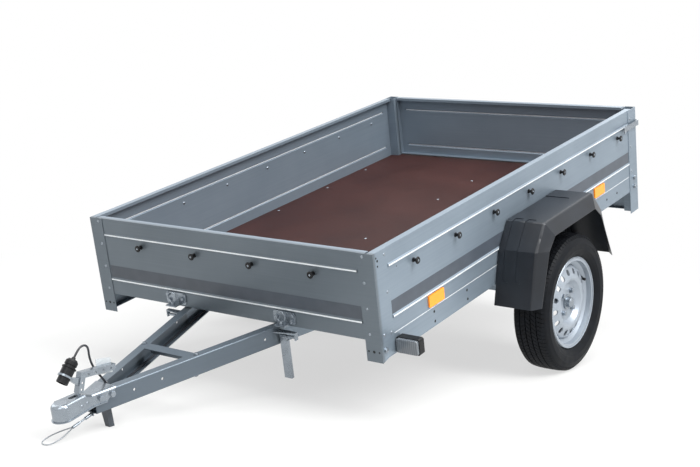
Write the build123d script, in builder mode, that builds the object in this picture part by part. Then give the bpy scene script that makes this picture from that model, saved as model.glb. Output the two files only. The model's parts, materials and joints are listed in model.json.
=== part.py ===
from build123d import *
from math import asin, atan2, cos, degrees, hypot, radians, sin, tan
import os

# A single-axle tipping utility trailer with a folded sheet-steel box on a V drawbar.
# Everything is drawn level, in millimetres: X forward to the coupling, Y to the left,
# Z up, from the rear end of the box and the lower end of its front posts. At the end
# each piece is turned as the trailer stands parked, nose down on its front foot.

# Box
BOX_LENGTH = 2040.0
BOX_WIDTH = 1300.0
BOX_TOP = 375.0
SHEET = 2.0
RIM_WIDTH = 25.0
RIM_LIP = 12.0
RIDGE_LEVELS = (312.0, 135.0)
RIDGE_DEPTH = 4.0
RIDGE_HALF_HEIGHT = 7.0
FLOOR_BOTTOM = 76.0
FLOOR_THICKNESS = 9.0
RAIL_BOTTOM = 5.0
RAIL_FLANGE = 30.0

# Corner posts
FRONT_POST_FACE = 63.0
FRONT_POST_SIDE = 76.0
FRONT_POST_RISE = 15.0
REAR_POST_SIDE = 80.0
REAR_POST_BOX = 47.0
REAR_POST_DROP = 95.0

# Tailgate and its hinge line
GATE_GAP = 5.0
GATE_SKIN_X = 4.0
GATE_BOTTOM_GAP = 6.0
HINGE_X = -18.0
HINGE_Z = 80.0
HINGE_PIN_RADIUS = 4.0
HINGE_KNUCKLE_RADIUS = 8.0
HINGE_INSET = 230.0
RUNNING_GAP = 0.05

# Cross members
CROSS_MEMBER_WIDTH = 40.0
MIDDLE_MEMBERS = (420.0, 800.0)
PIVOT_X = 1200.0
PIVOT_Z = 36.0

# Wheels and axle
AXLE_X = 987.0
AXLE_Z = -160.0
TYRE_RADIUS = 268.0
TYRE_WIDTH = 145.0
TYRE_WALL = 12.0
WHEEL_OFFSET = 98.5
RIM_SEAT_RADIUS = 164.5
RIM_HALF_WIDTH = 50.8
DISC_OFFSET = 27.5
VENT_COUNT = 16
VENT_HALF_LENGTH = 12.0
VENT_HALF_WIDTH = 10.0
VENT_CIRCLE_RADIUS = 120.0
WHEEL_BOLT_COUNT = 4
WHEEL_BOLT_CIRCLE = 98.0
HUB_BORE_RADIUS = 29.0
AXLE_BEAM_X = 1100.0
AXLE_BEAM_Z = -62.0
AXLE_BEAM_SIDE = 60.0
AXLE_BEAM_INSET = 60.0
STUB_RADIUS = 15.0

# Mudguards, as half outlines about the axle: half length and height above the box foot
GUARD_OUTLINE = ((337.0, -66.0), (275.0, 134.0), (200.0, 225.0))
GUARD_LIP_OUTLINE = ((306.0, -66.0), (222.0, 127.0), (170.0, 172.0))
GUARD_CLEARANCE = 2.5
GUARD_SHOULDER = 156.0
GUARD_LIP = 182.0
GUARD_WALL = 4.0
GUARD_EDGE_RADIUS = 12.0

# Drawbar
ARM_TOP = 69.0
ARM_HEIGHT = 66.0
ARM_FLANGE = 34.0
ARM_SHEET = 3.0
ARM_BEND = 4.0
ARM_HOLES = (2584.0, 2486.0, 2102.0)
ARM_FRONT_X = 2715.0
ARM_FRONT_HALF_WIDTH = 25.5
ARM_REAR_HALF_WIDTH = 478.0
CROSSBAR_X = 2338.0
CROSSBAR_WIDTH = 40.0
NOSE_PLATE_REAR_X = 2640.0
FOOT_X = 2655.0
FOOT_BOTTOM_Z = -71.0

# Ball coupling
BALL_X = 2826.0
BALL_Z = 59.0
BALL_RADIUS = 25.0
HEAD_RADIUS = 33.0
COUPLING_WALL = 3.0
COUPLING_BOTTOM = 33.0
COUPLING_REAR_X = 2640.0
COUPLING_LIP = 3.5
ARM_SEAT = 0.3
HANDLE_HALF_WIDTH = 11.0
HANDLE_SHEET = 2.5
HANDLE_FLANGE = 20.0

# Plug, its cable and the safety rope
PLUG_X = 2808.0
PLUG_Z = 145.0
PLUG_RADIUS = 19.0
CABLE_DIAMETER = 7.0
ROPE_DIAMETER = 4.0

# Lamps, reflectors and cover knobs
MARKER_INSET = 75.0
MARKER_Z = 33.5
REAR_LAMP_INSET = 115.0
REAR_LAMP_Z = -56.0
REFLECTOR_REAR_X = 395.0
REFLECTOR_FRONT_INSET = 340.0
REFLECTOR_Z = 105.0
SIDE_KNOB_COUNT = 7
SIDE_KNOB_REAR_X = 194.0
SIDE_KNOB_FRONT_INSET = 227.0
END_KNOB_COUNT = 4
END_KNOB_INSET = 250.0
KNOB_Z = 281.0

# Tilt lock between the arms and the foot of the front panel
LOCK_OFFSET = 27.0
LOCK_HALF_WIDTH = 48.0
LOCK_TAB_HALF_WIDTH = 24.0

HALF_LENGTH = BOX_LENGTH / 2
HALF_WIDTH = BOX_WIDTH / 2
SKIN_Y = HALF_WIDTH - SHEET
SKIN_X = BOX_LENGTH - SHEET
FLOOR_TOP = FLOOR_BOTTOM + FLOOR_THICKNESS
ARM_SLOPE = (ARM_REAR_HALF_WIDTH - ARM_FRONT_HALF_WIDTH) / (ARM_FRONT_X - PIVOT_X)
WHEEL_CENTRE_Y = HALF_WIDTH + WHEEL_OFFSET
DISC_FACE_Y = WHEEL_CENTRE_Y + DISC_OFFSET
AXLE_BEAM_HALF_LENGTH = HALF_WIDTH - AXLE_BEAM_INSET
GUARD_INNER_Y = HALF_WIDTH + GUARD_CLEARANCE
GUARD_SHOULDER_Y = HALF_WIDTH + GUARD_SHOULDER
GUARD_LIP_Y = HALF_WIDTH + GUARD_LIP

# The trailer stands on its tyres and its foot: the ground line touches the tyre circle
# and passes through the foot, so the box is pitched nose down by this angle.
FOOT_REACH = hypot(FOOT_X - AXLE_X, FOOT_BOTTOM_Z - AXLE_Z)
PARKED_PITCH = degrees(
    atan2(FOOT_BOTTOM_Z - AXLE_Z, FOOT_X - AXLE_X) + asin(TYRE_RADIUS / FOOT_REACH)
)
GROUND = Plane(
    origin=(FOOT_X, 0, FOOT_BOTTOM_Z),
    x_dir=(cos(radians(PARKED_PITCH)), 0, sin(radians(PARKED_PITCH))),
    z_dir=(-sin(radians(PARKED_PITCH)), 0, cos(radians(PARKED_PITCH))),
)


def folded_sheet(points, thickness):
    """Outline of folded sheet whose first face runs through the points, its metal on the left."""
    normals = []
    for (x0, y0), (x1, y1) in zip(points, points[1:]):
        length = hypot(x1 - x0, y1 - y0)
        normals.append(((y0 - y1) / length, (x1 - x0) / length))
    inner = []
    for place, (x, y) in enumerate(points):
        before = normals[max(place - 1, 0)]
        after = normals[min(place, len(normals) - 1)]
        share = thickness / (1 + before[0] * after[0] + before[1] * after[1])
        inner.append((x + share * (before[0] + after[0]), y + share * (before[1] + after[1])))
    return list(points) + inner[::-1]


def outline(points, mode=Mode.ADD):
    """A closed straight-sided face, its corners where they are given."""
    return Polygon(*points, align=None, mode=mode)


def across(y):
    """Plane across the trailer at y, its own axes X and Z; it faces the right side."""
    return Plane.XZ.offset(-y)


def section(x):
    """Plane square to the trailer's length at x, its own axes Y and Z; it faces forward."""
    return Plane.YZ.offset(x)


def level(z):
    """Level plane at height z."""
    return Plane.XY.offset(z)


def evenly(first, last, count):
    """Places spaced evenly from the first to the last."""
    return [first + (last - first) * place / (count - 1) for place in range(count)]


pieces = {}


def keep(label, part):
    """File a finished piece under its name."""
    pieces[label] = part


def keep_pair(stem, part):
    """File a left-hand piece and its mirror image for the right."""
    pieces[stem + "_left"] = part
    pieces[stem + "_right"] = mirror(part, about=Plane.XZ)


def ridge_outside(skin, outward, z):
    """Section of a rolled ridge where it stands out of the skin."""
    low = RIDGE_HALF_HEIGHT
    high = RIDGE_HALF_HEIGHT - RIDGE_DEPTH
    peak = skin + outward * RIDGE_DEPTH
    return [(skin, z - low), (peak, z - high), (peak, z + high), (skin, z + low)]


def ridge_inside(skin, outward, z):
    """Section of the groove that the same ridge leaves inside."""
    low = RIDGE_HALF_HEIGHT - SHEET / 2
    high = low - RIDGE_DEPTH
    foot = skin - outward * SHEET
    peak = foot + outward * RIDGE_DEPTH
    return [(foot, z - low), (peak, z - high), (peak, z + high), (foot, z + low)]


# Floor board: film-faced plywood, notched round the rear posts
FLOOR_REAR_X = GATE_SKIN_X
FLOOR_CLEARANCE = 0.5
FLOOR_FRONT_X = SKIN_X - SHEET - FLOOR_CLEARANCE
FLOOR_HALF_WIDTH = SKIN_Y - SHEET - FLOOR_CLEARANCE
with BuildPart() as floor_board:
    with BuildSketch(level(FLOOR_BOTTOM)):
        outline([
            (FLOOR_REAR_X, -HALF_WIDTH + REAR_POST_BOX + 1),
            (FLOOR_REAR_X, HALF_WIDTH - REAR_POST_BOX - 1),
            (REAR_POST_BOX + 1, HALF_WIDTH - REAR_POST_BOX - 1),
            (REAR_POST_BOX + 1, FLOOR_HALF_WIDTH),
            (FLOOR_FRONT_X, FLOOR_HALF_WIDTH),
            (FLOOR_FRONT_X, -FLOOR_HALF_WIDTH),
            (REAR_POST_BOX + 1, -FLOOR_HALF_WIDTH),
            (REAR_POST_BOX + 1, -HALF_WIDTH + REAR_POST_BOX + 1),
        ])
    extrude(amount=FLOOR_THICKNESS)
keep("floor_board", floor_board.part)

# Side panels: skin, folded rim along the top and two rolled ridges between the posts
SIDE_REAR_X = REAR_POST_BOX + 1
SIDE_FRONT_X = SKIN_X - SHEET
SIDE_RIDGE_REAR_X = REAR_POST_SIDE + 4
SIDE_RIDGE_FRONT_X = BOX_LENGTH - FRONT_POST_SIDE - 4
with BuildPart() as side_panel:
    with BuildSketch(section(SIDE_REAR_X)):
        outline(folded_sheet([
            (SKIN_Y, FLOOR_BOTTOM),
            (SKIN_Y, BOX_TOP),
            (SKIN_Y - RIM_WIDTH, BOX_TOP),
            (SKIN_Y - RIM_WIDTH, BOX_TOP - RIM_LIP),
        ], SHEET))
    extrude(amount=SIDE_FRONT_X - SIDE_REAR_X)
    with BuildSketch(section(SIDE_RIDGE_REAR_X)):
        for ridge_z in RIDGE_LEVELS:
            outline(ridge_outside(SKIN_Y, 1, ridge_z))
    extrude(amount=SIDE_RIDGE_FRONT_X - SIDE_RIDGE_REAR_X)
    with BuildSketch(section(SIDE_RIDGE_REAR_X + SHEET)):
        for ridge_z in RIDGE_LEVELS:
            outline(ridge_inside(SKIN_Y, 1, ridge_z))
    extrude(amount=SIDE_RIDGE_FRONT_X - SIDE_RIDGE_REAR_X - 2 * SHEET, mode=Mode.SUBTRACT)
keep_pair("side_panel", side_panel.part)

# Side rails: the channels below the panels that carry the floor
with BuildPart() as side_rail:
    with BuildSketch(section(SIDE_REAR_X)):
        outline(folded_sheet([
            (SKIN_Y - RAIL_FLANGE, RAIL_BOTTOM),
            (SKIN_Y, RAIL_BOTTOM),
            (SKIN_Y, FLOOR_BOTTOM),
            (SKIN_Y - RAIL_FLANGE, FLOOR_BOTTOM),
        ], SHEET))
    extrude(amount=SIDE_FRONT_X - SIDE_REAR_X)
    fillet(side_rail.edges().filter_by(Axis.X).group_by(Axis.Y)[-1], 1.2)
keep_pair("side_rail", side_rail.part)

# Front panel: the same section turned across the box, its rim and foot between the sides
FRONT_BEND_HALF_WIDTH = SKIN_Y - RIM_WIDTH - RAIL_FLANGE / 4
with BuildPart() as front_panel:
    with BuildSketch(across(0)):
        outline(folded_sheet([
            (SKIN_X - RAIL_FLANGE, FLOOR_BOTTOM - SHEET),
            (SKIN_X, FLOOR_BOTTOM - SHEET),
            (SKIN_X, BOX_TOP),
            (SKIN_X - RIM_WIDTH, BOX_TOP),
            (SKIN_X - RIM_WIDTH, BOX_TOP - RIM_LIP),
        ], SHEET))
    extrude(amount=FRONT_BEND_HALF_WIDTH, both=True)
    with BuildSketch(section(SKIN_X - SHEET)):
        outline([
            (-SKIN_Y + SHEET, FLOOR_BOTTOM - SHEET),
            (SKIN_Y - SHEET, FLOOR_BOTTOM - SHEET),
            (SKIN_Y - SHEET, BOX_TOP),
            (-SKIN_Y + SHEET, BOX_TOP),
        ])
    extrude(amount=SHEET)
    with BuildSketch(across(0)):
        for ridge_z in RIDGE_LEVELS:
            outline(ridge_outside(SKIN_X, 1, ridge_z))
    extrude(amount=HALF_WIDTH - FRONT_POST_FACE - 4, both=True)
    with BuildSketch(across(0)):
        for ridge_z in RIDGE_LEVELS:
            outline(ridge_inside(SKIN_X, 1, ridge_z))
    extrude(amount=HALF_WIDTH - FRONT_POST_FACE - 4 - SHEET, both=True, mode=Mode.SUBTRACT)
keep("front_panel", front_panel.part)

# Front corner posts: angles round the corner, the side leg cut on a slant at its foot
with BuildPart() as front_post:
    with BuildSketch(level(0)):
        outline(folded_sheet([
            (BOX_LENGTH, HALF_WIDTH - FRONT_POST_FACE),
            (BOX_LENGTH, HALF_WIDTH),
            (BOX_LENGTH - FRONT_POST_SIDE, HALF_WIDTH),
        ], SHEET))
    extrude(amount=BOX_TOP)
    with BuildSketch(across(HALF_WIDTH)):
        outline([
            (BOX_LENGTH - SHEET, 0),
            (BOX_LENGTH - FRONT_POST_SIDE, 0),
            (BOX_LENGTH - FRONT_POST_SIDE, FRONT_POST_RISE),
        ])
    extrude(amount=2 * SHEET, both=True, mode=Mode.SUBTRACT)
    fillet(front_post.edges().filter_by(Axis.Z).sort_by(Axis.Y)[-1], 1.0)
keep_pair("front_post", front_post.part)

# Rear corner posts: a box section at the corner with a leg along the side
with BuildPart() as rear_post:
    with BuildSketch(level(-REAR_POST_DROP)):
        outline(folded_sheet([
            (REAR_POST_SIDE, HALF_WIDTH),
            (0, HALF_WIDTH),
            (0, HALF_WIDTH - REAR_POST_BOX),
            (REAR_POST_BOX, HALF_WIDTH - REAR_POST_BOX),
            (REAR_POST_BOX, HALF_WIDTH - SHEET - 1),
        ], SHEET))
    extrude(amount=BOX_TOP + REAR_POST_DROP)
keep_pair("rear_post", rear_post.part)

# Rear cross member: its deep web closes the back below the gate and carries the lamps
REAR_MEMBER_HALF_WIDTH = HALF_WIDTH - REAR_POST_BOX - 0.5
with BuildPart() as rear_cross_member:
    with BuildSketch(across(0)):
        outline(folded_sheet([
            (GATE_SKIN_X + CROSS_MEMBER_WIDTH, FLOOR_BOTTOM),
            (GATE_SKIN_X, FLOOR_BOTTOM),
            (GATE_SKIN_X, -REAR_POST_DROP),
            (GATE_SKIN_X + CROSS_MEMBER_WIDTH / 2, -REAR_POST_DROP),
        ], SHEET))
    extrude(amount=REAR_MEMBER_HALF_WIDTH, both=True)
keep("rear_cross_member", rear_cross_member.part)

# Middle cross members: channels between the side rails
MEMBER_HALF_WIDTH = SKIN_Y - RAIL_FLANGE - 0.5
with BuildPart() as middle_cross_members:
    for member_x in MIDDLE_MEMBERS:
        with BuildSketch(across(0)):
            outline(folded_sheet([
                (member_x + CROSS_MEMBER_WIDTH, RAIL_BOTTOM),
                (member_x, RAIL_BOTTOM),
                (member_x, FLOOR_BOTTOM),
                (member_x + CROSS_MEMBER_WIDTH, FLOOR_BOTTOM),
            ], -SHEET))
        extrude(amount=MEMBER_HALF_WIDTH, both=True)
keep("middle_cross_members", middle_cross_members.part)

# Pivot cross member: a channel open to the front, with two pairs of ears for the drawbar
EAR_THICKNESS = 5.0
EAR_GAP = 62.0
EAR_RADIUS = 24.0
PIVOT_PIN_RADIUS = 8.0
EYE_RADIUS = 15.0
EYE_LENGTH = 50.0
PIVOT_Y = ARM_REAR_HALF_WIDTH - ARM_FLANGE / 2
PIVOT_MEMBER_X = PIVOT_X - EAR_RADIUS - CROSS_MEMBER_WIDTH - 8
with BuildPart() as pivot_cross_member:
    with BuildSketch(across(0)):
        outline(folded_sheet([
            (PIVOT_MEMBER_X + CROSS_MEMBER_WIDTH, RAIL_BOTTOM),
            (PIVOT_MEMBER_X, RAIL_BOTTOM),
            (PIVOT_MEMBER_X, FLOOR_BOTTOM),
            (PIVOT_MEMBER_X + CROSS_MEMBER_WIDTH, FLOOR_BOTTOM),
        ], -SHEET))
    extrude(amount=MEMBER_HALF_WIDTH, both=True)
    for side in (-1, 1):
        for ear in (-1, 1):
            ear_y = side * PIVOT_Y + ear * (EAR_GAP + EAR_THICKNESS) / 2
            with BuildSketch(across(ear_y)):
                with BuildLine():
                    Polyline(
                        (PIVOT_X, PIVOT_Z + EAR_RADIUS),
                        (PIVOT_MEMBER_X + SHEET, FLOOR_BOTTOM - SHEET - 0.5),
                        (PIVOT_MEMBER_X + SHEET, RAIL_BOTTOM + SHEET + 0.5),
                        (PIVOT_X, PIVOT_Z - EAR_RADIUS),
                    )
                    ThreePointArc(
                        (PIVOT_X, PIVOT_Z - EAR_RADIUS),
                        (PIVOT_X + EAR_RADIUS, PIVOT_Z),
                        (PIVOT_X, PIVOT_Z + EAR_RADIUS),
                    )
                make_face()
            extrude(amount=EAR_THICKNESS / 2, both=True)
        with BuildSketch(across(side * PIVOT_Y)):
            with Locations((PIVOT_X, PIVOT_Z)):
                Circle(PIVOT_PIN_RADIUS)
        extrude(amount=EAR_GAP / 2 + EAR_THICKNESS + 8, both=True)
keep("pivot_cross_member", pivot_cross_member.part)

# Tailgate: a shallow pressed tray between the rear posts
GATE_HALF_WIDTH = HALF_WIDTH - REAR_POST_BOX - GATE_GAP
GATE_BOTTOM = FLOOR_TOP + GATE_BOTTOM_GAP
GATE_DEPTH = 25.0
with BuildPart() as tailgate:
    with BuildSketch(across(0)):
        outline(folded_sheet([
            (GATE_SKIN_X + GATE_DEPTH, BOX_TOP - RIM_LIP),
            (GATE_SKIN_X + GATE_DEPTH, BOX_TOP),
            (GATE_SKIN_X, BOX_TOP),
            (GATE_SKIN_X, GATE_BOTTOM),
            (GATE_SKIN_X + GATE_DEPTH, GATE_BOTTOM),
        ], SHEET))
    extrude(amount=GATE_HALF_WIDTH, both=True)
    for side in (-1, 1):
        with BuildSketch(across(side * (GATE_HALF_WIDTH - SHEET / 2))):
            outline([
                (GATE_SKIN_X, GATE_BOTTOM),
                (GATE_SKIN_X + GATE_DEPTH, GATE_BOTTOM),
                (GATE_SKIN_X + GATE_DEPTH, BOX_TOP),
                (GATE_SKIN_X, BOX_TOP),
            ])
        extrude(amount=SHEET / 2, both=True)
    with BuildSketch(across(0)):
        for ridge_z in RIDGE_LEVELS:
            outline(ridge_outside(GATE_SKIN_X, -1, ridge_z))
    extrude(amount=GATE_HALF_WIDTH - 30, both=True)
    with BuildSketch(across(0)):
        for ridge_z in RIDGE_LEVELS:
            outline(ridge_inside(GATE_SKIN_X, -1, ridge_z))
    extrude(amount=GATE_HALF_WIDTH - 30 - SHEET, both=True, mode=Mode.SUBTRACT)
keep("tailgate", tailgate.part)

# Tailgate hinges: each has two knuckles and a pin on the cross member, one on the gate
KNUCKLE_LENGTH = 16.0
KNUCKLE_GAP = 0.5
LEAF_HALF_WIDTH = 28.0
LEAF = 3.0
HINGE_PLACES = evenly(HINGE_INSET - HALF_WIDTH, HALF_WIDTH - HINGE_INSET, 3)
with BuildPart() as hinge_bases:
    for hinge_y in HINGE_PLACES:
        for end in (-1, 1):
            knuckle_y = hinge_y + end * (KNUCKLE_LENGTH + KNUCKLE_GAP)
            with BuildSketch(across(knuckle_y)):
                outline(folded_sheet([
                    (GATE_SKIN_X, 30),
                    (GATE_SKIN_X, 66),
                    (HINGE_X + 2, HINGE_Z - 2),
                ], LEAF))
                with Locations((HINGE_X, HINGE_Z)):
                    Circle(HINGE_KNUCKLE_RADIUS)
            extrude(amount=KNUCKLE_LENGTH / 2, both=True)
        with BuildSketch(across(hinge_y)):
            with Locations((HINGE_X, HINGE_Z)):
                Circle(HINGE_PIN_RADIUS)
        extrude(amount=1.5 * KNUCKLE_LENGTH + 4, both=True)
        with BuildSketch(across(hinge_y)):
            outline([(GATE_SKIN_X - LEAF, 30), (GATE_SKIN_X, 30), (GATE_SKIN_X, 60),
                     (GATE_SKIN_X - LEAF, 60)])
        extrude(amount=LEAF_HALF_WIDTH, both=True)
keep("hinge_bases", hinge_bases.part)

with BuildPart() as hinge_straps:
    for hinge_y in HINGE_PLACES:
        with BuildSketch(across(hinge_y)):
            outline(folded_sheet([
                (HINGE_X + 2, HINGE_Z + 4),
                (GATE_SKIN_X, GATE_BOTTOM + 6),
                (GATE_SKIN_X, GATE_BOTTOM + 34),
            ], LEAF))
            with Locations((HINGE_X, HINGE_Z)):
                Circle(HINGE_KNUCKLE_RADIUS)
        extrude(amount=KNUCKLE_LENGTH / 2, both=True)
        with BuildSketch(across(hinge_y)):
            outline([
                (GATE_SKIN_X - LEAF, GATE_BOTTOM + 10),
                (GATE_SKIN_X, GATE_BOTTOM + 10),
                (GATE_SKIN_X, GATE_BOTTOM + 36),
                (GATE_SKIN_X - LEAF, GATE_BOTTOM + 36),
            ])
        extrude(amount=LEAF_HALF_WIDTH, both=True)
        with BuildSketch(across(hinge_y)):
            with Locations((HINGE_X, HINGE_Z)):
                Circle(HINGE_PIN_RADIUS + RUNNING_GAP)
        extrude(amount=KNUCKLE_LENGTH, both=True, mode=Mode.SUBTRACT)
keep("hinge_straps", hinge_straps.part)

# Tailgate latches: each lever reaches forward along the side and hooks round the post
LATCH_Z = 305.0
LATCH_Y = HALF_WIDTH + 8.0
LATCH_SHEET = 3.0
LATCH_REACH = 165.0
with BuildPart() as tailgate_latch:
    with BuildSketch(level(LATCH_Z - 12)):
        outline(folded_sheet([
            (GATE_SKIN_X - RIDGE_DEPTH, GATE_HALF_WIDTH - 26),
            (GATE_SKIN_X - RIDGE_DEPTH - 5, GATE_HALF_WIDTH + 6),
            (GATE_SKIN_X - RIDGE_DEPTH - 5, LATCH_Y + LATCH_SHEET),
            (LATCH_REACH * 0.75, LATCH_Y + LATCH_SHEET),
            (LATCH_REACH, LATCH_Y + 14),
        ], -LATCH_SHEET))
    extrude(amount=24)
    with BuildSketch(level(LATCH_Z - 12)):
        outline([
            (GATE_SKIN_X, GATE_HALF_WIDTH - 28),
            (GATE_SKIN_X, GATE_HALF_WIDTH - 2),
            (GATE_SKIN_X - RIDGE_DEPTH - LATCH_SHEET - 2, GATE_HALF_WIDTH - 2),
            (GATE_SKIN_X - RIDGE_DEPTH - LATCH_SHEET - 2, GATE_HALF_WIDTH - 28),
        ])
    extrude(amount=24)
keep_pair("tailgate_latch", tailgate_latch.part)

# Axle beam: square tube held to the rails by two bolted saddles
with BuildPart() as axle_beam:
    with BuildSketch(across(0)):
        with Locations((AXLE_BEAM_X, AXLE_BEAM_Z)):
            Rectangle(AXLE_BEAM_SIDE, AXLE_BEAM_SIDE)
            Rectangle(AXLE_BEAM_SIDE - 8, AXLE_BEAM_SIDE - 8, mode=Mode.SUBTRACT)
    extrude(amount=AXLE_BEAM_HALF_LENGTH, both=True)
keep("axle_beam", axle_beam.part)

SADDLE_SHEET = 5.0
SADDLE_HALF_WIDTH = 22.0
SADDLE_Y = AXLE_BEAM_HALF_LENGTH - SADDLE_HALF_WIDTH - 8
with BuildPart() as axle_saddles:
    for side in (-1, 1):
        for end in (-1, 1):
            cheek_x = AXLE_BEAM_X + end * (AXLE_BEAM_SIDE / 2)
            with BuildSketch(across(side * SADDLE_Y)):
                outline([
                    (cheek_x, AXLE_BEAM_Z - 10),
                    (cheek_x + end * SADDLE_SHEET, AXLE_BEAM_Z - 10),
                    (cheek_x + end * SADDLE_SHEET, RAIL_BOTTOM - SADDLE_SHEET),
                    (cheek_x, RAIL_BOTTOM - SADDLE_SHEET),
                ])
            extrude(amount=SADDLE_HALF_WIDTH, both=True)
        with BuildSketch(level(RAIL_BOTTOM - SADDLE_SHEET)):
            outline([
                (AXLE_BEAM_X - AXLE_BEAM_SIDE, side * (SADDLE_Y - SADDLE_HALF_WIDTH)),
                (AXLE_BEAM_X + AXLE_BEAM_SIDE, side * (SADDLE_Y - SADDLE_HALF_WIDTH)),
                (AXLE_BEAM_X + AXLE_BEAM_SIDE, side * SKIN_Y),
                (AXLE_BEAM_X - AXLE_BEAM_SIDE, side * SKIN_Y),
            ])
        extrude(amount=SADDLE_SHEET)
keep("axle_saddles", axle_saddles.part)

# Torsion arms with their stub axles
TORSION_ARM_THICKNESS = 20.0
TORSION_ARM_Y = AXLE_BEAM_HALF_LENGTH + TORSION_ARM_THICKNESS / 2
HUB_INNER_Y = WHEEL_CENTRE_Y - 58.5
HUB_OUTER_Y = DISC_FACE_Y - 4
with BuildPart() as torsion_arm:
    with BuildSketch(across(TORSION_ARM_Y)):
        with Locations((AXLE_BEAM_X, AXLE_BEAM_Z)):
            Circle(27)
        with Locations((AXLE_X, AXLE_Z)):
            Circle(24)
        make_hull()
    extrude(amount=TORSION_ARM_THICKNESS / 2, both=True)
    with BuildSketch(across(TORSION_ARM_Y)):
        with Locations((AXLE_X, AXLE_Z)):
            Circle(20)
    extrude(amount=-(HUB_INNER_Y - 6 - TORSION_ARM_Y))
    with BuildSketch(across(TORSION_ARM_Y)):
        with Locations((AXLE_X, AXLE_Z)):
            Circle(STUB_RADIUS)
    extrude(amount=-(HUB_OUTER_Y + 6 - TORSION_ARM_Y))
keep_pair("torsion_arm", torsion_arm.part)


# The turning pieces are drawn as sections in a plane whose own axes are Y and radius
WHEEL_SECTION = Plane(origin=(AXLE_X, 0, AXLE_Z), x_dir=(0, 1, 0), z_dir=(1, 0, 0))
SPIN_AXIS = Axis((AXLE_X, 0, AXLE_Z), (0, 1, 0))

# Hubs: bearing barrel, bolt flange and a grease cap
with BuildPart() as hub:
    with BuildSketch(WHEEL_SECTION):
        outline([
            (HUB_INNER_Y, STUB_RADIUS + RUNNING_GAP),
            (HUB_INNER_Y, 34),
            (HUB_OUTER_Y - 10, 31),
            (HUB_OUTER_Y - 10, 62),
            (HUB_OUTER_Y, 62),
            (HUB_OUTER_Y, HUB_BORE_RADIUS - 0.3),
            (HUB_OUTER_Y + 10, HUB_BORE_RADIUS - 0.3),
            (HUB_OUTER_Y + 10, 21),
            (HUB_OUTER_Y + 24, 20),
            (HUB_OUTER_Y + 28, 15),
            (HUB_OUTER_Y + 28, 0),
            (HUB_OUTER_Y + 12, 0),
            (HUB_OUTER_Y + 12, STUB_RADIUS + RUNNING_GAP),
        ])
    revolve(axis=SPIN_AXIS)
keep_pair("hub", hub.part)

# Rims: rolled well with its two flanges, and a pressed disc with a ring of vents
RIM_INNER_FLANGE = WHEEL_CENTRE_Y - RIM_HALF_WIDTH
RIM_OUTER_FLANGE = WHEEL_CENTRE_Y + RIM_HALF_WIDTH
RIM_SHEET = 3.0
DISC_SHEET = 4.0
WELL_RADIUS = 147.0
with BuildPart() as rim:
    with BuildSketch(WHEEL_SECTION):
        outline(folded_sheet([
            (RIM_INNER_FLANGE - 6.5, RIM_SEAT_RADIUS + 11.5),
            (RIM_INNER_FLANGE - 2.5, RIM_SEAT_RADIUS + 14.4),
            (RIM_INNER_FLANGE, RIM_SEAT_RADIUS + 12.5),
            (RIM_INNER_FLANGE, RIM_SEAT_RADIUS + 1.5),
            (RIM_INNER_FLANGE + 16, RIM_SEAT_RADIUS),
            (RIM_INNER_FLANGE + 30, WELL_RADIUS),
            (RIM_OUTER_FLANGE - 32, WELL_RADIUS),
            (RIM_OUTER_FLANGE - 18, RIM_SEAT_RADIUS),
            (RIM_OUTER_FLANGE, RIM_SEAT_RADIUS + 1.5),
            (RIM_OUTER_FLANGE, RIM_SEAT_RADIUS + 12.5),
            (RIM_OUTER_FLANGE + 2.5, RIM_SEAT_RADIUS + 14.4),
            (RIM_OUTER_FLANGE + 6.5, RIM_SEAT_RADIUS + 11.5),
        ], -RIM_SHEET))
    revolve(axis=SPIN_AXIS)
    with BuildSketch(WHEEL_SECTION):
        outline(folded_sheet([
            (WHEEL_CENTRE_Y - 6, WELL_RADIUS - RIM_SHEET + 0.5),
            (WHEEL_CENTRE_Y + 20, WELL_RADIUS - RIM_SHEET + 0.5),
            (WHEEL_CENTRE_Y + 32, WELL_RADIUS - 9),
            (WHEEL_CENTRE_Y + 40, VENT_CIRCLE_RADIUS),
            (WHEEL_CENTRE_Y + 47, 104),
            (WHEEL_CENTRE_Y + 49, 95),
            (WHEEL_CENTRE_Y + 45, 86),
            (DISC_FACE_Y, 72),
            (DISC_FACE_Y - 4 + DISC_SHEET, 64),
            (DISC_FACE_Y, HUB_BORE_RADIUS),
        ], -DISC_SHEET))
    revolve(axis=SPIN_AXIS)
    with BuildSketch(across(DISC_FACE_Y)):
        with Locations((AXLE_X, AXLE_Z)):
            with PolarLocations(VENT_CIRCLE_RADIUS, VENT_COUNT):
                Ellipse(VENT_HALF_LENGTH, VENT_HALF_WIDTH)
            with PolarLocations(WHEEL_BOLT_CIRCLE / 2, WHEEL_BOLT_COUNT, start_angle=45):
                Circle(6.5)
    extrude(amount=30, both=True, mode=Mode.SUBTRACT)
keep_pair("rim", rim.part)

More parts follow.
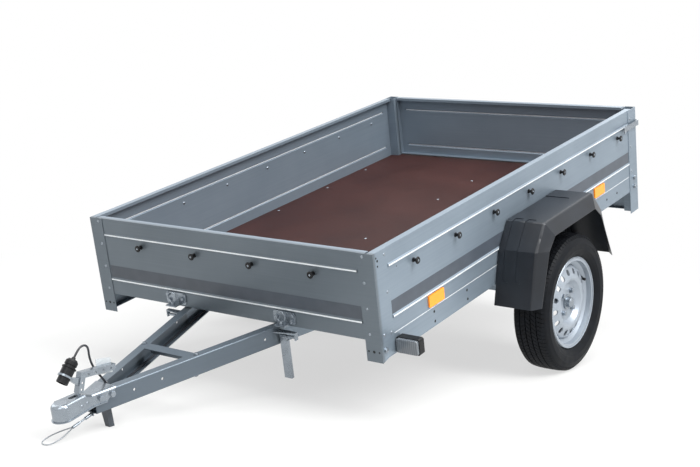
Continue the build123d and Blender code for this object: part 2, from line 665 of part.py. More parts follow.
# Tyres: crown, shoulder, bulging wall and bead of a hollow carcass, mirrored about mid-tread
TYRE_HALF = TYRE_WIDTH / 2
TYRE_SECTION = Plane(
    origin=(AXLE_X, WHEEL_CENTRE_Y, AXLE_Z), x_dir=(0, 1, 0), z_dir=(1, 0, 0)
)
WALL_RADIUS = (RIM_SEAT_RADIUS + TYRE_RADIUS) / 2
BEAD_RADIUS = RIM_SEAT_RADIUS + 2.2
with BuildPart() as tyre:
    with BuildSketch(TYRE_SECTION):
        with BuildLine():
            tread_edge = (TYRE_HALF - 22, TYRE_RADIUS - 4)
            shoulder_foot = (TYRE_HALF - 9, TYRE_RADIUS - 17)
            flange_top = (RIM_HALF_WIDTH + 6, RIM_SEAT_RADIUS + 18)
            bead_toe = (RIM_HALF_WIDTH - 13, BEAD_RADIUS)
            crown_inside = (RIM_HALF_WIDTH - 13, TYRE_RADIUS - TYRE_WALL - 4)
            ThreePointArc(
                (0, TYRE_RADIUS), (tread_edge[0] / 2, TYRE_RADIUS - 1), tread_edge
            )
            ThreePointArc(tread_edge, (TYRE_HALF - 14, TYRE_RADIUS - 9), shoulder_foot)
            ThreePointArc(shoulder_foot, (TYRE_HALF, WALL_RADIUS + 4), flange_top)
            Polyline(
                flange_top,
                (RIM_HALF_WIDTH - 0.4, RIM_SEAT_RADIUS + 14),
                (RIM_HALF_WIDTH - 0.4, BEAD_RADIUS),
                bead_toe,
            )
            wall_foot = (RIM_HALF_WIDTH - 11, BEAD_RADIUS + 16)
            Line(bead_toe, wall_foot)
            ThreePointArc(wall_foot, (TYRE_HALF - TYRE_WALL - 2, WALL_RADIUS + 8), crown_inside)
            Line(crown_inside, (0, TYRE_RADIUS - TYRE_WALL - 4))
            mirror(about=Plane.YZ)
        make_face()
    revolve(axis=SPIN_AXIS)
keep_pair("tyre", tyre.part)


# Mudguards: moulded covers with a wide slanted shoulder and an open outer side
def guard_profile(half_outline):
    """Both halves of a guard outline about the axle, front to rear."""
    front = [(AXLE_X + x, z) for x, z in half_outline]
    rear = [(AXLE_X - x, z) for x, z in reversed(half_outline)]
    return front + rear


GUARD_CUT = 20.0
GUARD_PRESSING = 2.0
GROOVE_SHARES = (0.26, 0.6)
GROOVE_HALF_WIDTH = 16.0
GROOVE_FOOT_Z = 20.0
GROOVE_START = 172.0
PANEL_LENGTH = 225.0
PANEL_WIDTH = 105.0
PANEL_CORNER = 14.0
guard_outer = guard_profile(GUARD_OUTLINE)
guard_lip = guard_profile(GUARD_LIP_OUTLINE)
guard_inner = folded_sheet(guard_outer, GUARD_WALL)[len(guard_outer):][::-1]
guard_lip_inner = folded_sheet(guard_lip, GUARD_WALL)[len(guard_lip):][::-1]
guard_flange = folded_sheet(guard_outer, 45.0)[len(guard_outer):][::-1]


def below(points):
    """The same outline carried on below the guard's lower edges."""
    (first_x, first_z), (last_x, last_z) = points[0], points[-1]
    return [(first_x, first_z - GUARD_CUT)] + points + [(last_x, last_z - GUARD_CUT)]


# The shallow pressings of a guard: two grooves down its front and a panel on its top
guard_pressed = folded_sheet(guard_outer, GUARD_PRESSING)[len(guard_outer):][::-1]
GROOVE_TOP = GUARD_OUTLINE[-1][1] + 2 * GROOVE_HALF_WIDTH
with BuildPart() as guard_grooves:
    with BuildSketch(across(GUARD_INNER_Y)):
        outline(guard_outer)
        outline(guard_pressed, mode=Mode.SUBTRACT)
    extrude(amount=-(GUARD_SHOULDER_Y - GUARD_INNER_Y))
    with BuildSketch(section(AXLE_X + GROOVE_START)):
        for share in GROOVE_SHARES:
            groove_y = GUARD_INNER_Y + share * (GUARD_SHOULDER_Y - GUARD_INNER_Y)
            with Locations((groove_y, (GROOVE_TOP + GROOVE_FOOT_Z) / 2)):
                SlotOverall(GROOVE_TOP - GROOVE_FOOT_Z, 2 * GROOVE_HALF_WIDTH, rotation=90)
    extrude(amount=GUARD_OUTLINE[0][0], mode=Mode.INTERSECT)
with BuildPart() as guard_panel:
    with BuildSketch(level(GUARD_OUTLINE[-1][1] - GUARD_PRESSING)):
        with Locations((AXLE_X, GUARD_INNER_Y)):
            RectangleRounded(PANEL_LENGTH, 2 * PANEL_WIDTH, PANEL_CORNER)
    extrude(amount=2 * GUARD_PRESSING)

with BuildPart() as mudguard:
    with BuildSketch(across(GUARD_INNER_Y)):
        outline(guard_outer)
    extrude(amount=-(GUARD_SHOULDER_Y - GUARD_INNER_Y))
    with BuildSketch(across(GUARD_SHOULDER_Y)):
        outline(guard_outer)
    with BuildSketch(across(GUARD_LIP_Y)):
        outline(guard_lip)
    loft(ruled=True)
    guard_creases = mudguard.edges().filter_by(Axis.Y).filter_by(
        lambda edge: edge.center().Z > GUARD_OUTLINE[0][1] + 1
    )
    guard_shoulder = mudguard.edges().filter_by(
        lambda edge: abs(edge.center().Y - GUARD_SHOULDER_Y) < 0.01
        and edge.center().Z > GUARD_OUTLINE[0][1] + 1
    )
    fillet(guard_creases + guard_shoulder, GUARD_EDGE_RADIUS)
    add(guard_grooves.part, mode=Mode.SUBTRACT)
    add(guard_panel.part, mode=Mode.SUBTRACT)
    with BuildSketch(across(GUARD_INNER_Y + GUARD_WALL)):
        outline(below(guard_inner))
    extrude(amount=-(GUARD_SHOULDER_Y - GUARD_INNER_Y - GUARD_WALL - 2), mode=Mode.SUBTRACT)
    with BuildSketch(across(GUARD_SHOULDER_Y - 2)):
        outline(below(guard_inner))
    with BuildSketch(across(GUARD_LIP_Y + 1)):
        outline(below(guard_lip_inner))
    loft(ruled=True, mode=Mode.SUBTRACT)
    with BuildSketch(across(GUARD_INNER_Y)):
        outline(below(guard_flange))
    extrude(amount=2 * GUARD_WALL, both=True, mode=Mode.SUBTRACT)
keep_pair("mudguard", mudguard.part)


# Drawbar arms: folded channels, open towards each other, from the pivot to the nose
def arm_y(x, inset=0.0):
    """Distance of an arm's outer web, less an inset, from the middle at x."""
    outer = ARM_FRONT_HALF_WIDTH + (ARM_FRONT_X - x) * ARM_SLOPE
    return outer - inset * hypot(1, ARM_SLOPE)


ARM_BOTTOM = ARM_TOP - ARM_HEIGHT
ARM_HOLE_RADIUS = 4.5
ARM_HOLE_Z = (ARM_TOP + ARM_BOTTOM) / 2 + 2
FLANGE_MEET_X = ARM_FRONT_X - (ARM_FLANGE * hypot(1, ARM_SLOPE) - ARM_FRONT_HALF_WIDTH) / ARM_SLOPE
with BuildPart() as drawbar_arm:
    for flange_z in (ARM_BOTTOM, ARM_TOP - ARM_SHEET):
        with BuildSketch(level(flange_z)):
            outline([
                (PIVOT_X, arm_y(PIVOT_X)),
                (ARM_FRONT_X, arm_y(ARM_FRONT_X)),
                (ARM_FRONT_X, 0),
                (FLANGE_MEET_X, 0),
                (PIVOT_X, arm_y(PIVOT_X, ARM_FLANGE)),
            ])
        extrude(amount=ARM_SHEET)
    with BuildSketch(level(ARM_BOTTOM)):
        outline([
            (PIVOT_X, arm_y(PIVOT_X)),
            (ARM_FRONT_X, arm_y(ARM_FRONT_X)),
            (ARM_FRONT_X, arm_y(ARM_FRONT_X, ARM_SHEET)),
            (PIVOT_X, arm_y(PIVOT_X, ARM_SHEET)),
        ])
    extrude(amount=ARM_HEIGHT)
    arm_web = drawbar_arm.faces().sort_by(Axis((0, 0, 0), (ARM_SLOPE, 1, 0)))[-1]
    fillet(arm_web.edges().filter_by(Plane.XY), ARM_BEND)
    with BuildSketch(across(0)):
        for hole_x in ARM_HOLES:
            with Locations((hole_x, ARM_HOLE_Z)):
                Circle(ARM_HOLE_RADIUS)
    extrude(amount=-2 * ARM_REAR_HALF_WIDTH, mode=Mode.SUBTRACT)
    with BuildSketch(across(PIVOT_Y)):
        with Locations((PIVOT_X, PIVOT_Z)):
            Circle(EYE_RADIUS)
    extrude(amount=EYE_LENGTH / 2, both=True)
    with BuildSketch(across(PIVOT_Y)):
        with Locations((PIVOT_X, PIVOT_Z)):
            Circle(PIVOT_PIN_RADIUS + RUNNING_GAP)
    extrude(amount=EYE_LENGTH, both=True, mode=Mode.SUBTRACT)
keep_pair("drawbar_arm", drawbar_arm.part)

# Crossbar: an angle between the arms, its top flush with theirs
CROSSBAR_FRONT_X = CROSSBAR_X + CROSSBAR_WIDTH
CROSSBAR_DROP = 34.0
SEAT_GAP = 0.2
with BuildPart() as drawbar_crossbar:
    for bar_bottom, bar_front_x in (
        (ARM_TOP - ARM_SHEET, CROSSBAR_FRONT_X),
        (ARM_TOP - CROSSBAR_DROP, CROSSBAR_X + ARM_SHEET),
    ):
        with BuildSketch(level(bar_bottom)):
            outline([
                (CROSSBAR_X, -arm_y(CROSSBAR_X, ARM_FLANGE) + SEAT_GAP),
                (bar_front_x, -arm_y(bar_front_x, ARM_FLANGE) + SEAT_GAP),
                (bar_front_x, arm_y(bar_front_x, ARM_FLANGE) - SEAT_GAP),
                (CROSSBAR_X, arm_y(CROSSBAR_X, ARM_FLANGE) - SEAT_GAP),
            ])
        extrude(amount=ARM_TOP - bar_bottom)
keep("drawbar_crossbar", drawbar_crossbar.part)

# Nose plate: closes the top of the arms where they meet
with BuildPart() as nose_plate:
    with BuildSketch(level(ARM_TOP - ARM_SHEET)):
        outline([
            (NOSE_PLATE_REAR_X, -arm_y(NOSE_PLATE_REAR_X, ARM_FLANGE) + SEAT_GAP),
            (FLANGE_MEET_X - 2, 0),
            (NOSE_PLATE_REAR_X, arm_y(NOSE_PLATE_REAR_X, ARM_FLANGE) - SEAT_GAP),
        ])
    extrude(amount=ARM_SHEET)
keep("nose_plate", nose_plate.part)

# Support foot: a tapered leg between the arms, cut to stand flat on the ground
FOOT_TOP_WIDTH = 24.0
FOOT_BOTTOM_WIDTH = 18.0
FOOT_WALL = 3.0
FOOT_SLANT = 4.0
FOOT_OVERRUN = 40.0
with BuildPart() as support_foot:
    for cut in (0.0, FOOT_WALL):
        with BuildSketch(level(ARM_BOTTOM)):
            with Locations((FOOT_X + FOOT_SLANT, 0)):
                Rectangle(FOOT_TOP_WIDTH - 2 * cut, FOOT_TOP_WIDTH - 2 * cut)
        with BuildSketch(level(FOOT_BOTTOM_Z - FOOT_OVERRUN)):
            with Locations((FOOT_X - FOOT_SLANT, 0)):
                Rectangle(FOOT_BOTTOM_WIDTH - 2 * cut, FOOT_BOTTOM_WIDTH - 2 * cut)
        loft(ruled=True, mode=Mode.SUBTRACT if cut else Mode.ADD)
    split(bisect_by=GROUND, keep=Keep.TOP)
keep("support_foot", support_foot.part)

# Coupling: pressed shell that wraps the arms, rises to the ball head and ends in a lip
COUPLING_SEAT = ARM_TOP + ARM_SEAT + COUPLING_WALL
COUPLING_BEND = ARM_BEND + ARM_SEAT + COUPLING_WALL
COUPLING_SLANT = 41.0
NECK_X = ARM_FRONT_X + 8
RISE_X = ARM_FRONT_X + 34
HEAD_TOP = BALL_Z + BALL_RADIUS + 3.5
HEAD_BEND = 14.0
SLOT_REAR_X = ARM_FRONT_X + 32
SLOT_LENGTH = 46.0
SLOT_HALF_WIDTH = 8.0


def coupling_half_width(x, inset):
    """Half the coupling's width at x: along the arms, then out to the head."""
    skew = hypot(1, ARM_SLOPE)
    along_arms = arm_y(min(x, NECK_X)) + (ARM_SEAT + COUPLING_WALL - inset) * skew
    share = max(x - NECK_X, 0) / (BALL_X - NECK_X)
    return along_arms + share * (HEAD_RADIUS - inset - along_arms)


def coupling_form(inset):
    """The coupling's outer form, or with an inset the hollow inside it."""
    bottom = COUPLING_BOTTOM - inset
    with BuildPart() as form:
        for x, top in (
            (COUPLING_REAR_X - inset, COUPLING_SEAT),
            (NECK_X, COUPLING_SEAT),
            (RISE_X, HEAD_TOP - 4),
            (BALL_X, HEAD_TOP),
        ):
            with BuildSketch(section(x)) as station:
                half = coupling_half_width(x, inset)
                outline([(-half, bottom), (half, bottom), (half, top - inset), (-half, top - inset)])
                fillet(station.vertices().group_by(Axis.Y)[-1], COUPLING_BEND - inset)
        loft(ruled=True)
        with BuildSketch(Plane(origin=(BALL_X, 0, 0), x_dir=(1, 0, 0), z_dir=(0, -1, 0))) as head:
            outline([
                (0, bottom),
                (HEAD_RADIUS - inset, bottom),
                (HEAD_RADIUS - inset, HEAD_TOP - inset),
                (0, HEAD_TOP - inset),
            ])
            fillet(head.vertices().sort_by(SortBy.DISTANCE, reverse=True)[0], HEAD_BEND - inset)
        revolve(axis=Axis((BALL_X, 0, 0), (0, 0, 1)))
    return form.part


with BuildPart() as coupling_body:
    add(coupling_form(0.0))
    with BuildSketch(level(COUPLING_BOTTOM)):
        lip_plan = [
            (x, coupling_half_width(x, -COUPLING_LIP))
            for x in (COUPLING_REAR_X + COUPLING_SLANT, NECK_X, BALL_X)
        ]
        outline(lip_plan + [(x, -y) for x, y in reversed(lip_plan)])
        with Locations((BALL_X, 0)):
            Circle(HEAD_RADIUS + COUPLING_LIP)
    extrude(amount=COUPLING_WALL)
    with BuildSketch(across(0)):
        outline([
            (COUPLING_REAR_X + COUPLING_SLANT, COUPLING_BOTTOM - 1),
            (COUPLING_REAR_X + COUPLING_SLANT, COUPLING_BOTTOM),
            (COUPLING_REAR_X, COUPLING_SEAT),
            (COUPLING_REAR_X - 1, COUPLING_SEAT),
            (COUPLING_REAR_X - 1, COUPLING_BOTTOM - 1),
        ])
    extrude(amount=2 * ARM_REAR_HALF_WIDTH, both=True, mode=Mode.SUBTRACT)
    add(coupling_form(COUPLING_WALL), mode=Mode.SUBTRACT)
    with BuildSketch(level(BALL_Z)):
        with Locations((BALL_X, 0)):
            Circle(HEAD_RADIUS - COUPLING_WALL + 0.5)
    extrude(amount=HEAD_TOP - HEAD_BEND - BALL_Z)
    with BuildSketch(level(HEAD_TOP - HEAD_BEND - 1)):
        with Locations((BALL_X, 0)):
            Circle(BALL_RADIUS)
    extrude(amount=HEAD_BEND - 1)
    with Locations((BALL_X, 0, BALL_Z)):
        Sphere(BALL_RADIUS + 0.4, mode=Mode.SUBTRACT)
    with BuildSketch(level(BALL_Z)):
        with Locations((SLOT_REAR_X + SLOT_LENGTH / 2, 0)):
            SlotOverall(SLOT_LENGTH, 2 * SLOT_HALF_WIDTH)
    extrude(amount=2 * BALL_RADIUS, mode=Mode.SUBTRACT)
keep("coupling_body", coupling_body.part)

# Coupling handle: a bent channel with perforated cheeks, its tongue down in the slot
HANDLE_FOOT = (SLOT_REAR_X + 14, BALL_Z + BALL_RADIUS + 8)
HANDLE_CORNER = (SLOT_REAR_X - 11, BALL_Z + 93)
HANDLE_REAR = (SLOT_REAR_X - 150, BALL_Z + 66)
HANDLE_HOLE_RADIUS = 4.0
with BuildPart() as coupling_handle:
    handle_web = [HANDLE_FOOT, HANDLE_CORNER, HANDLE_REAR]
    with BuildSketch(across(0)):
        outline(folded_sheet(handle_web, HANDLE_SHEET))
    extrude(amount=HANDLE_HALF_WIDTH, both=True)
    for side in (-1, 1):
        with BuildSketch(across(side * (HANDLE_HALF_WIDTH - HANDLE_SHEET / 2))):
            outline(folded_sheet(handle_web, HANDLE_FLANGE))
        extrude(amount=HANDLE_SHEET / 2, both=True)
    with BuildSketch(across(0)):
        outline(folded_sheet([
            (HANDLE_FOOT[0] + 4, BALL_Z + BALL_RADIUS - 10),
            (HANDLE_FOOT[0] - 2, HANDLE_FOOT[1] + 5),
        ], 6.0))
    extrude(amount=SLOT_HALF_WIDTH - 0.5, both=True)
    with BuildSketch(across(0)):
        for start, end, shares in (
            (HANDLE_FOOT, HANDLE_CORNER, (0.18, 0.5)),
            (HANDLE_CORNER, HANDLE_REAR, (0.2, 0.42, 0.64, 0.86)),
        ):
            run_length = hypot(end[0] - start[0], end[1] - start[1])
            across_x = (start[1] - end[1]) / run_length * HANDLE_FLANGE * 0.55
            across_z = (end[0] - start[0]) / run_length * HANDLE_FLANGE * 0.55
            for share in shares:
                with Locations((
                    start[0] + share * (end[0] - start[0]) + across_x,
                    start[1] + share * (end[1] - start[1]) + across_z,
                )):
                    Circle(HANDLE_HOLE_RADIUS)
    extrude(amount=2 * HANDLE_HALF_WIDTH, both=True, mode=Mode.SUBTRACT)
keep("coupling_handle", coupling_handle.part)

# Blank plate that stands on the handle's right-hand cheek
with BuildPart() as handle_plate:
    with BuildSketch(across(-HANDLE_HALF_WIDTH)):
        outline([
            (HANDLE_REAR[0] - 2, HANDLE_REAR[1] - 35),
            (HANDLE_REAR[0] - 2, HANDLE_REAR[1] + 17),
            (HANDLE_REAR[0] + 58, HANDLE_REAR[1] + 34),
            (HANDLE_REAR[0] + 62, HANDLE_REAR[1] - 18),
        ])
    extrude(amount=1.5)
keep("handle_plate", handle_plate.part)

# Plug: seven-pin trailer plug, drawn about its own axis from the pin end to the cable
PLUG_PLANE = Plane(origin=(PLUG_X, 0, PLUG_Z), x_dir=(0, 1, 0), z_dir=(-0.735, 0, 0.678))
PLUG_LENGTH = 87.0
PLUG_SHOULDER = 26.0
PLUG_PIN_CIRCLE = 10.5
PLUG_SECTION = Plane(
    origin=PLUG_PLANE.origin, x_dir=PLUG_PLANE.x_dir, z_dir=-PLUG_PLANE.y_dir
)
with BuildPart() as plug:
    with BuildSketch(PLUG_SECTION):
        outline([
            (0, 14),
            (PLUG_RADIUS - 2.5, 14),
            (PLUG_RADIUS - 2.5, 0),
            (PLUG_RADIUS, 0),
            (PLUG_RADIUS, PLUG_SHOULDER),
            (PLUG_RADIUS + 1.5, PLUG_SHOULDER),
            (PLUG_RADIUS + 1.5, 49),
            (PLUG_RADIUS + 4, 50),
            (PLUG_RADIUS + 4, 54),
            (PLUG_RADIUS - 1, 55),
            (PLUG_RADIUS - 1, 60),
            (PLUG_RADIUS + 1, 61),
            (PLUG_RADIUS + 1, 73),
            (PLUG_RADIUS - 5, 80),
            (CABLE_DIAMETER, 81),
            (CABLE_DIAMETER - 1, PLUG_LENGTH),
            (0, PLUG_LENGTH),
        ])
    revolve(axis=Axis(PLUG_PLANE.origin, PLUG_PLANE.z_dir))
    with BuildSketch(PLUG_PLANE.offset(3)):
        Circle(2.5)
        with PolarLocations(PLUG_PIN_CIRCLE, 6):
            Circle(2.2)
    extrude(amount=12)
keep("plug", plug.part)

# Plug holder: a ring round the plug below its shoulder, on a strap from the handle
RING_HEIGHT = 6.0
RING_RADIUS = PLUG_RADIUS + 0.3
RING_WALL = 4.0
RING_PLANE = PLUG_PLANE.offset(PLUG_SHOULDER - RING_HEIGHT)
with BuildPart() as plug_holder:
    handle_run_x = HANDLE_CORNER[0] - HANDLE_FOOT[0]
    handle_run_z = HANDLE_CORNER[1] - HANDLE_FOOT[1]
    ring_x = RING_PLANE.origin.X + PLUG_PLANE.z_dir.X * RING_HEIGHT / 2
    ring_z = RING_PLANE.origin.Z + PLUG_PLANE.z_dir.Z * RING_HEIGHT / 2
    with BuildSketch(across(0)):
        outline([
            (HANDLE_FOOT[0] + 0.35 * handle_run_x, HANDLE_FOOT[1] + 0.35 * handle_run_z),
            (HANDLE_FOOT[0] + 0.75 * handle_run_x, HANDLE_FOOT[1] + 0.75 * handle_run_z),
            (ring_x - PLUG_PLANE.z_dir.Z * 21 - 3, ring_z + PLUG_PLANE.z_dir.X * 21 + 3),
            (ring_x - PLUG_PLANE.z_dir.Z * 21 + 3, ring_z + PLUG_PLANE.z_dir.X * 21 - 3),
        ])
    extrude(amount=7, both=True)
    with BuildSketch(RING_PLANE):
        Circle(RING_RADIUS + RING_WALL)
    extrude(amount=RING_HEIGHT)
    with BuildSketch(RING_PLANE.offset(-RING_HEIGHT)):
        Circle(RING_RADIUS)
    extrude(amount=3 * RING_HEIGHT, mode=Mode.SUBTRACT)
keep("plug_holder", plug_holder.part)

# Cable clamp: a saddle on the arms' lower flanges behind the nose plate
CLAMP_X = 2626.0
CLAMP_HALF_LENGTH = 12.0
CLAMP_TOP = 22.0
with BuildPart() as cable_clamp:
    with BuildSketch(level(ARM_BOTTOM + ARM_SHEET)):
        with Locations((CLAMP_X, 0)):
            Rectangle(2 * CLAMP_HALF_LENGTH, 44)
    extrude(amount=CLAMP_TOP - ARM_BOTTOM - ARM_SHEET)
    fillet(cable_clamp.edges().filter_by(Axis.X).group_by(Axis.Z)[-1], 5)
keep("cable_clamp", cable_clamp.part)


def corner_radii(points):
    """Radius at each corner of a route, as large as its two runs allow."""
    radii = []
    for before, here, after in zip(points, points[1:], points[2:]):
        run_in = Vector(*here) - Vector(*before)
        run_out = Vector(*after) - Vector(*here)
        half_turn = radians(run_in.get_angle(run_out)) / 2
        radii.append(0.45 * min(run_in.length, run_out.length) / tan(half_turn))
    return radii


def cord(points, diameter):
    """A round cord along a route of straight runs joined by tangent arcs."""
    radii = corner_radii(points)
    start = Vector(*points[0])
    with BuildPart() as tube:
        with BuildLine():
            route = FilletPolyline(*points, radius=radii)
        with BuildSketch(Plane(origin=start, z_dir=Vector(*points[1]) - start)):
            Circle(diameter / 2)
        sweep(path=route)
    print("cord length", round(route.length, 1), "smallest radii", [round(r) for r in sorted(radii)[:4]])
    return tube.part


# Plug cable: up from the clamp past the far side of the handle, over and into the plug
PLUG_CABLE_ROUTE = [
    (2626, -4, CLAMP_TOP),
    (2626, -6, 46),
    (2631, -10, 70),
    (2645, -19, 101),
    (2660, -25, 136),
    (2668, -23, 172),
    (2672, -15, 203),
    (2685, -8, 220),
    (2705, -3, 227),
    (2725, 0, 222),
    (PLUG_X - 0.735 * PLUG_LENGTH, 0, PLUG_Z + 0.678 * PLUG_LENGTH),
]
keep("plug_cable", cord(PLUG_CABLE_ROUTE, CABLE_DIAMETER))

# Wiring loom: rearwards from the clamp along the right-hand arm to its grommet
LOOM_DIAMETER = 7.0
LOOM_Z = ARM_BOTTOM + ARM_SHEET + LOOM_DIAMETER / 2 + 0.3
GROMMET_X = 1262.0
LOOM_ROUTE = [
    (CLAMP_X - CLAMP_HALF_LENGTH, -6, LOOM_Z + 3),
    (2588, -8, LOOM_Z + 2),
    (2540, -arm_y(2540, 22), LOOM_Z),
    (2480, -arm_y(2480, 20), LOOM_Z),
    (1330, -arm_y(1330, 20), LOOM_Z),
    (1290, -arm_y(1290, 16), LOOM_Z + 8),
    (GROMMET_X, -arm_y(GROMMET_X, ARM_SHEET + 4), LOOM_Z + 10),
]
keep("wiring_loom", cord(LOOM_ROUTE, LOOM_DIAMETER))

# Rope anchor: a strap under the arms whose lip holds the rope's first ferrule
ANCHOR_LIP_X = ARM_FRONT_X + 3
with BuildPart() as rope_anchor:
    with BuildSketch(across(0)):
        outline(folded_sheet([
            (ARM_FRONT_X - 25, ARM_BOTTOM),
            (ANCHOR_LIP_X, ARM_BOTTOM),
            (ANCHOR_LIP_X, ARM_BOTTOM - 9),
        ], -ARM_SHEET))
    extrude(amount=8, both=True)
keep("rope_anchor", rope_anchor.part)

# Rope ferrules: two pressed sleeves with the doubled rope between them
FERRULE_PLACES = ((0.0, 26.0, 5.5), (52.0, 28.0, 4.8))
ROPE_PLANE = Plane(
    origin=(ANCHOR_LIP_X + 0.8, 0, ARM_BOTTOM - 3), x_dir=(0, 1, 0), z_dir=(1, 0, -0.112)
)
with BuildPart() as rope_ferrules:
    with BuildSketch(ROPE_PLANE):
        Circle(ROPE_DIAMETER * 0.75)
    extrude(amount=70)
    for start, ferrule_length, ferrule_radius in FERRULE_PLACES:
        with BuildSketch(ROPE_PLANE.offset(start)):
            Circle(ferrule_radius)
        extrude(amount=ferrule_length)
keep("rope_ferrules", rope_ferrules.part)

# Safety rope: a loop out of the second ferrule, round over the ground and back
LOOP_START = ROPE_PLANE.offset(80).origin
SAFETY_ROPE_ROUTE = [
    (LOOP_START.X, 2.4, LOOP_START.Z),
    (2822, 9, -9),
    (2846, 18, -10),
    (2873, 23, -10.5),
    (2900, 22, -11),
    (2912, 13, -11),
    (2916, -1, -11),
    (2911, -14, -11),
    (2899, -22, -10),
    (2872, -22, -8),
    (2846, -16, -7),
    (2822, -8, -7),
    (LOOP_START.X, -2.4, LOOP_START.Z),
]
keep("safety_rope", cord(SAFETY_ROPE_ROUTE, ROPE_DIAMETER))

# Tilt lock, box side: an angle on the foot of the front panel for each arm
LOCK_Y = arm_y(BOX_LENGTH) + LOCK_OFFSET
LOCK_PLATE = 4.0
LOCK_SHELF_Z = FLOOR_BOTTOM + 6
LOCK_TOP_Z = RIDGE_LEVELS[1] - RIDGE_HALF_HEIGHT - 2
LOCK_PIN_X = BOX_LENGTH + 22
LOCK_PIN_RADIUS = 6.0
with BuildPart() as tilt_lock_brackets:
    for side in (-1, 1):
        with BuildSketch(across(side * LOCK_Y)):
            outline(folded_sheet([
                (SKIN_X, LOCK_TOP_Z),
                (SKIN_X, LOCK_SHELF_Z),
                (BOX_LENGTH + 36, LOCK_SHELF_Z),
            ], LOCK_PLATE))
        extrude(amount=LOCK_TAB_HALF_WIDTH, both=True)
        with BuildSketch(section(SKIN_X)):
            with Locations((side * LOCK_Y, (LOCK_TOP_Z + LOCK_SHELF_Z) / 2)):
                RectangleRounded(2 * LOCK_HALF_WIDTH, LOCK_TOP_Z - LOCK_SHELF_Z, 10)
        extrude(amount=LOCK_PLATE)
        with BuildSketch(level(LOCK_SHELF_Z)):
            with Locations((LOCK_PIN_X, side * LOCK_Y)):
                Circle(LOCK_PIN_RADIUS + 0.1)
        extrude(amount=2 * LOCK_PLATE, mode=Mode.SUBTRACT)
keep("tilt_lock_brackets", tilt_lock_brackets.part)

# Lock pins: each stands in its bracket with a pull ring through its head
LOCK_RING_RADIUS = 19.0
LOCK_RING_WIRE = 2.0
with BuildPart() as tilt_lock_pins:
    for side in (-1, 1):
        with BuildSketch(level(LOCK_SHELF_Z)):
            with Locations((LOCK_PIN_X, side * LOCK_Y)):
                Circle(LOCK_PIN_RADIUS)
        extrude(amount=LOCK_PLATE + 12)
        ring_place = Plane(
            origin=(LOCK_PIN_X, side * LOCK_Y, LOCK_SHELF_Z + LOCK_PLATE + 10 + LOCK_RING_RADIUS),
            x_dir=(0, 1, 0),
            z_dir=(1, 0, 0),
        )
        with Locations(ring_place):
            Torus(LOCK_RING_RADIUS, LOCK_RING_WIRE)
keep("tilt_lock_pins", tilt_lock_pins.part)

# Tilt lock, arm side: a shelf on the outside of each arm whose turned-down ear holds a rod
ROD_X = BOX_LENGTH + 7
ROD_Z = ARM_BOTTOM + 34
ROD_RADIUS = 5.0
SHELF_Z = ARM_TOP - 17
SHELF_FRONT_X = BOX_LENGTH + 30
EAR_OUTER_Y = LOCK_Y + LOCK_HALF_WIDTH
with BuildPart() as tilt_lock_shelves:
    for side in (-1, 1):
        with BuildSketch(level(SHELF_Z)):
            outline([
                (BOX_LENGTH, side * (arm_y(BOX_LENGTH) + SEAT_GAP)),
                (BOX_LENGTH, side * EAR_OUTER_Y),
                (ROD_X + 8, side * EAR_OUTER_Y),
                (SHELF_FRONT_X, side * (arm_y(SHELF_FRONT_X) + SEAT_GAP)),
            ])
        extrude(amount=LOCK_PLATE)
        with BuildSketch(across(side * EAR_OUTER_Y)):
            outline([
                (BOX_LENGTH, ROD_Z - 8),
                (ROD_X + 8, ROD_Z - 8),
                (ROD_X + 8, SHELF_Z + LOCK_PLATE),
                (BOX_LENGTH, SHELF_Z + LOCK_PLATE),
            ])
        extrude(amount=side * LOCK_PLATE)
        rod_inner_y = arm_y(ROD_X - ROD_RADIUS) + SEAT_GAP
        with BuildSketch(across(side * EAR_OUTER_Y)):
            with Locations((ROD_X, ROD_Z)):
                Circle(ROD_RADIUS)
        extrude(amount=side * (EAR_OUTER_Y - rod_inner_y))
keep("tilt_lock_shelves", tilt_lock_shelves.part)

# Lock lever: a folded channel whose knuckle hangs on the left rod
LEVER_HALF_WIDTH = 16.0
LEVER_DEPTH = 12.0
LEVER_TOP_Z = ROD_Z - 14
LEVER_BOTTOM_Z = -119.0
LEVER_Y = LOCK_Y - 7
LEVER_SHEET = 2.5
KNUCKLE_WALL = 4.0
with BuildPart() as tilt_lock_lever:
    with BuildSketch(level(LEVER_BOTTOM_Z)):
        outline(folded_sheet([
            (ROD_X - LEVER_DEPTH / 2, LEVER_Y - LEVER_HALF_WIDTH),
            (ROD_X + LEVER_DEPTH / 2, LEVER_Y - LEVER_HALF_WIDTH),
            (ROD_X + LEVER_DEPTH / 2, LEVER_Y + LEVER_HALF_WIDTH),
            (ROD_X - LEVER_DEPTH / 2, LEVER_Y + LEVER_HALF_WIDTH),
        ], LEVER_SHEET))
    extrude(amount=LEVER_TOP_Z - LEVER_BOTTOM_Z)
    with BuildSketch(across(LEVER_Y)):
        with Locations((ROD_X, ROD_Z)):
            Circle(ROD_RADIUS + SEAT_GAP + KNUCKLE_WALL)
        outline([
            (ROD_X - 4, LEVER_TOP_Z - 12),
            (ROD_X + LEVER_DEPTH / 2, LEVER_TOP_Z - 12),
            (ROD_X + LEVER_DEPTH / 2, ROD_Z),
            (ROD_X - 4, ROD_Z),
        ])
        with Locations((ROD_X, ROD_Z)):
            Circle(ROD_RADIUS + SEAT_GAP, mode=Mode.SUBTRACT)
    extrude(amount=LEVER_HALF_WIDTH - LEVER_SHEET, both=True)
keep("tilt_lock_lever", tilt_lock_lever.part)


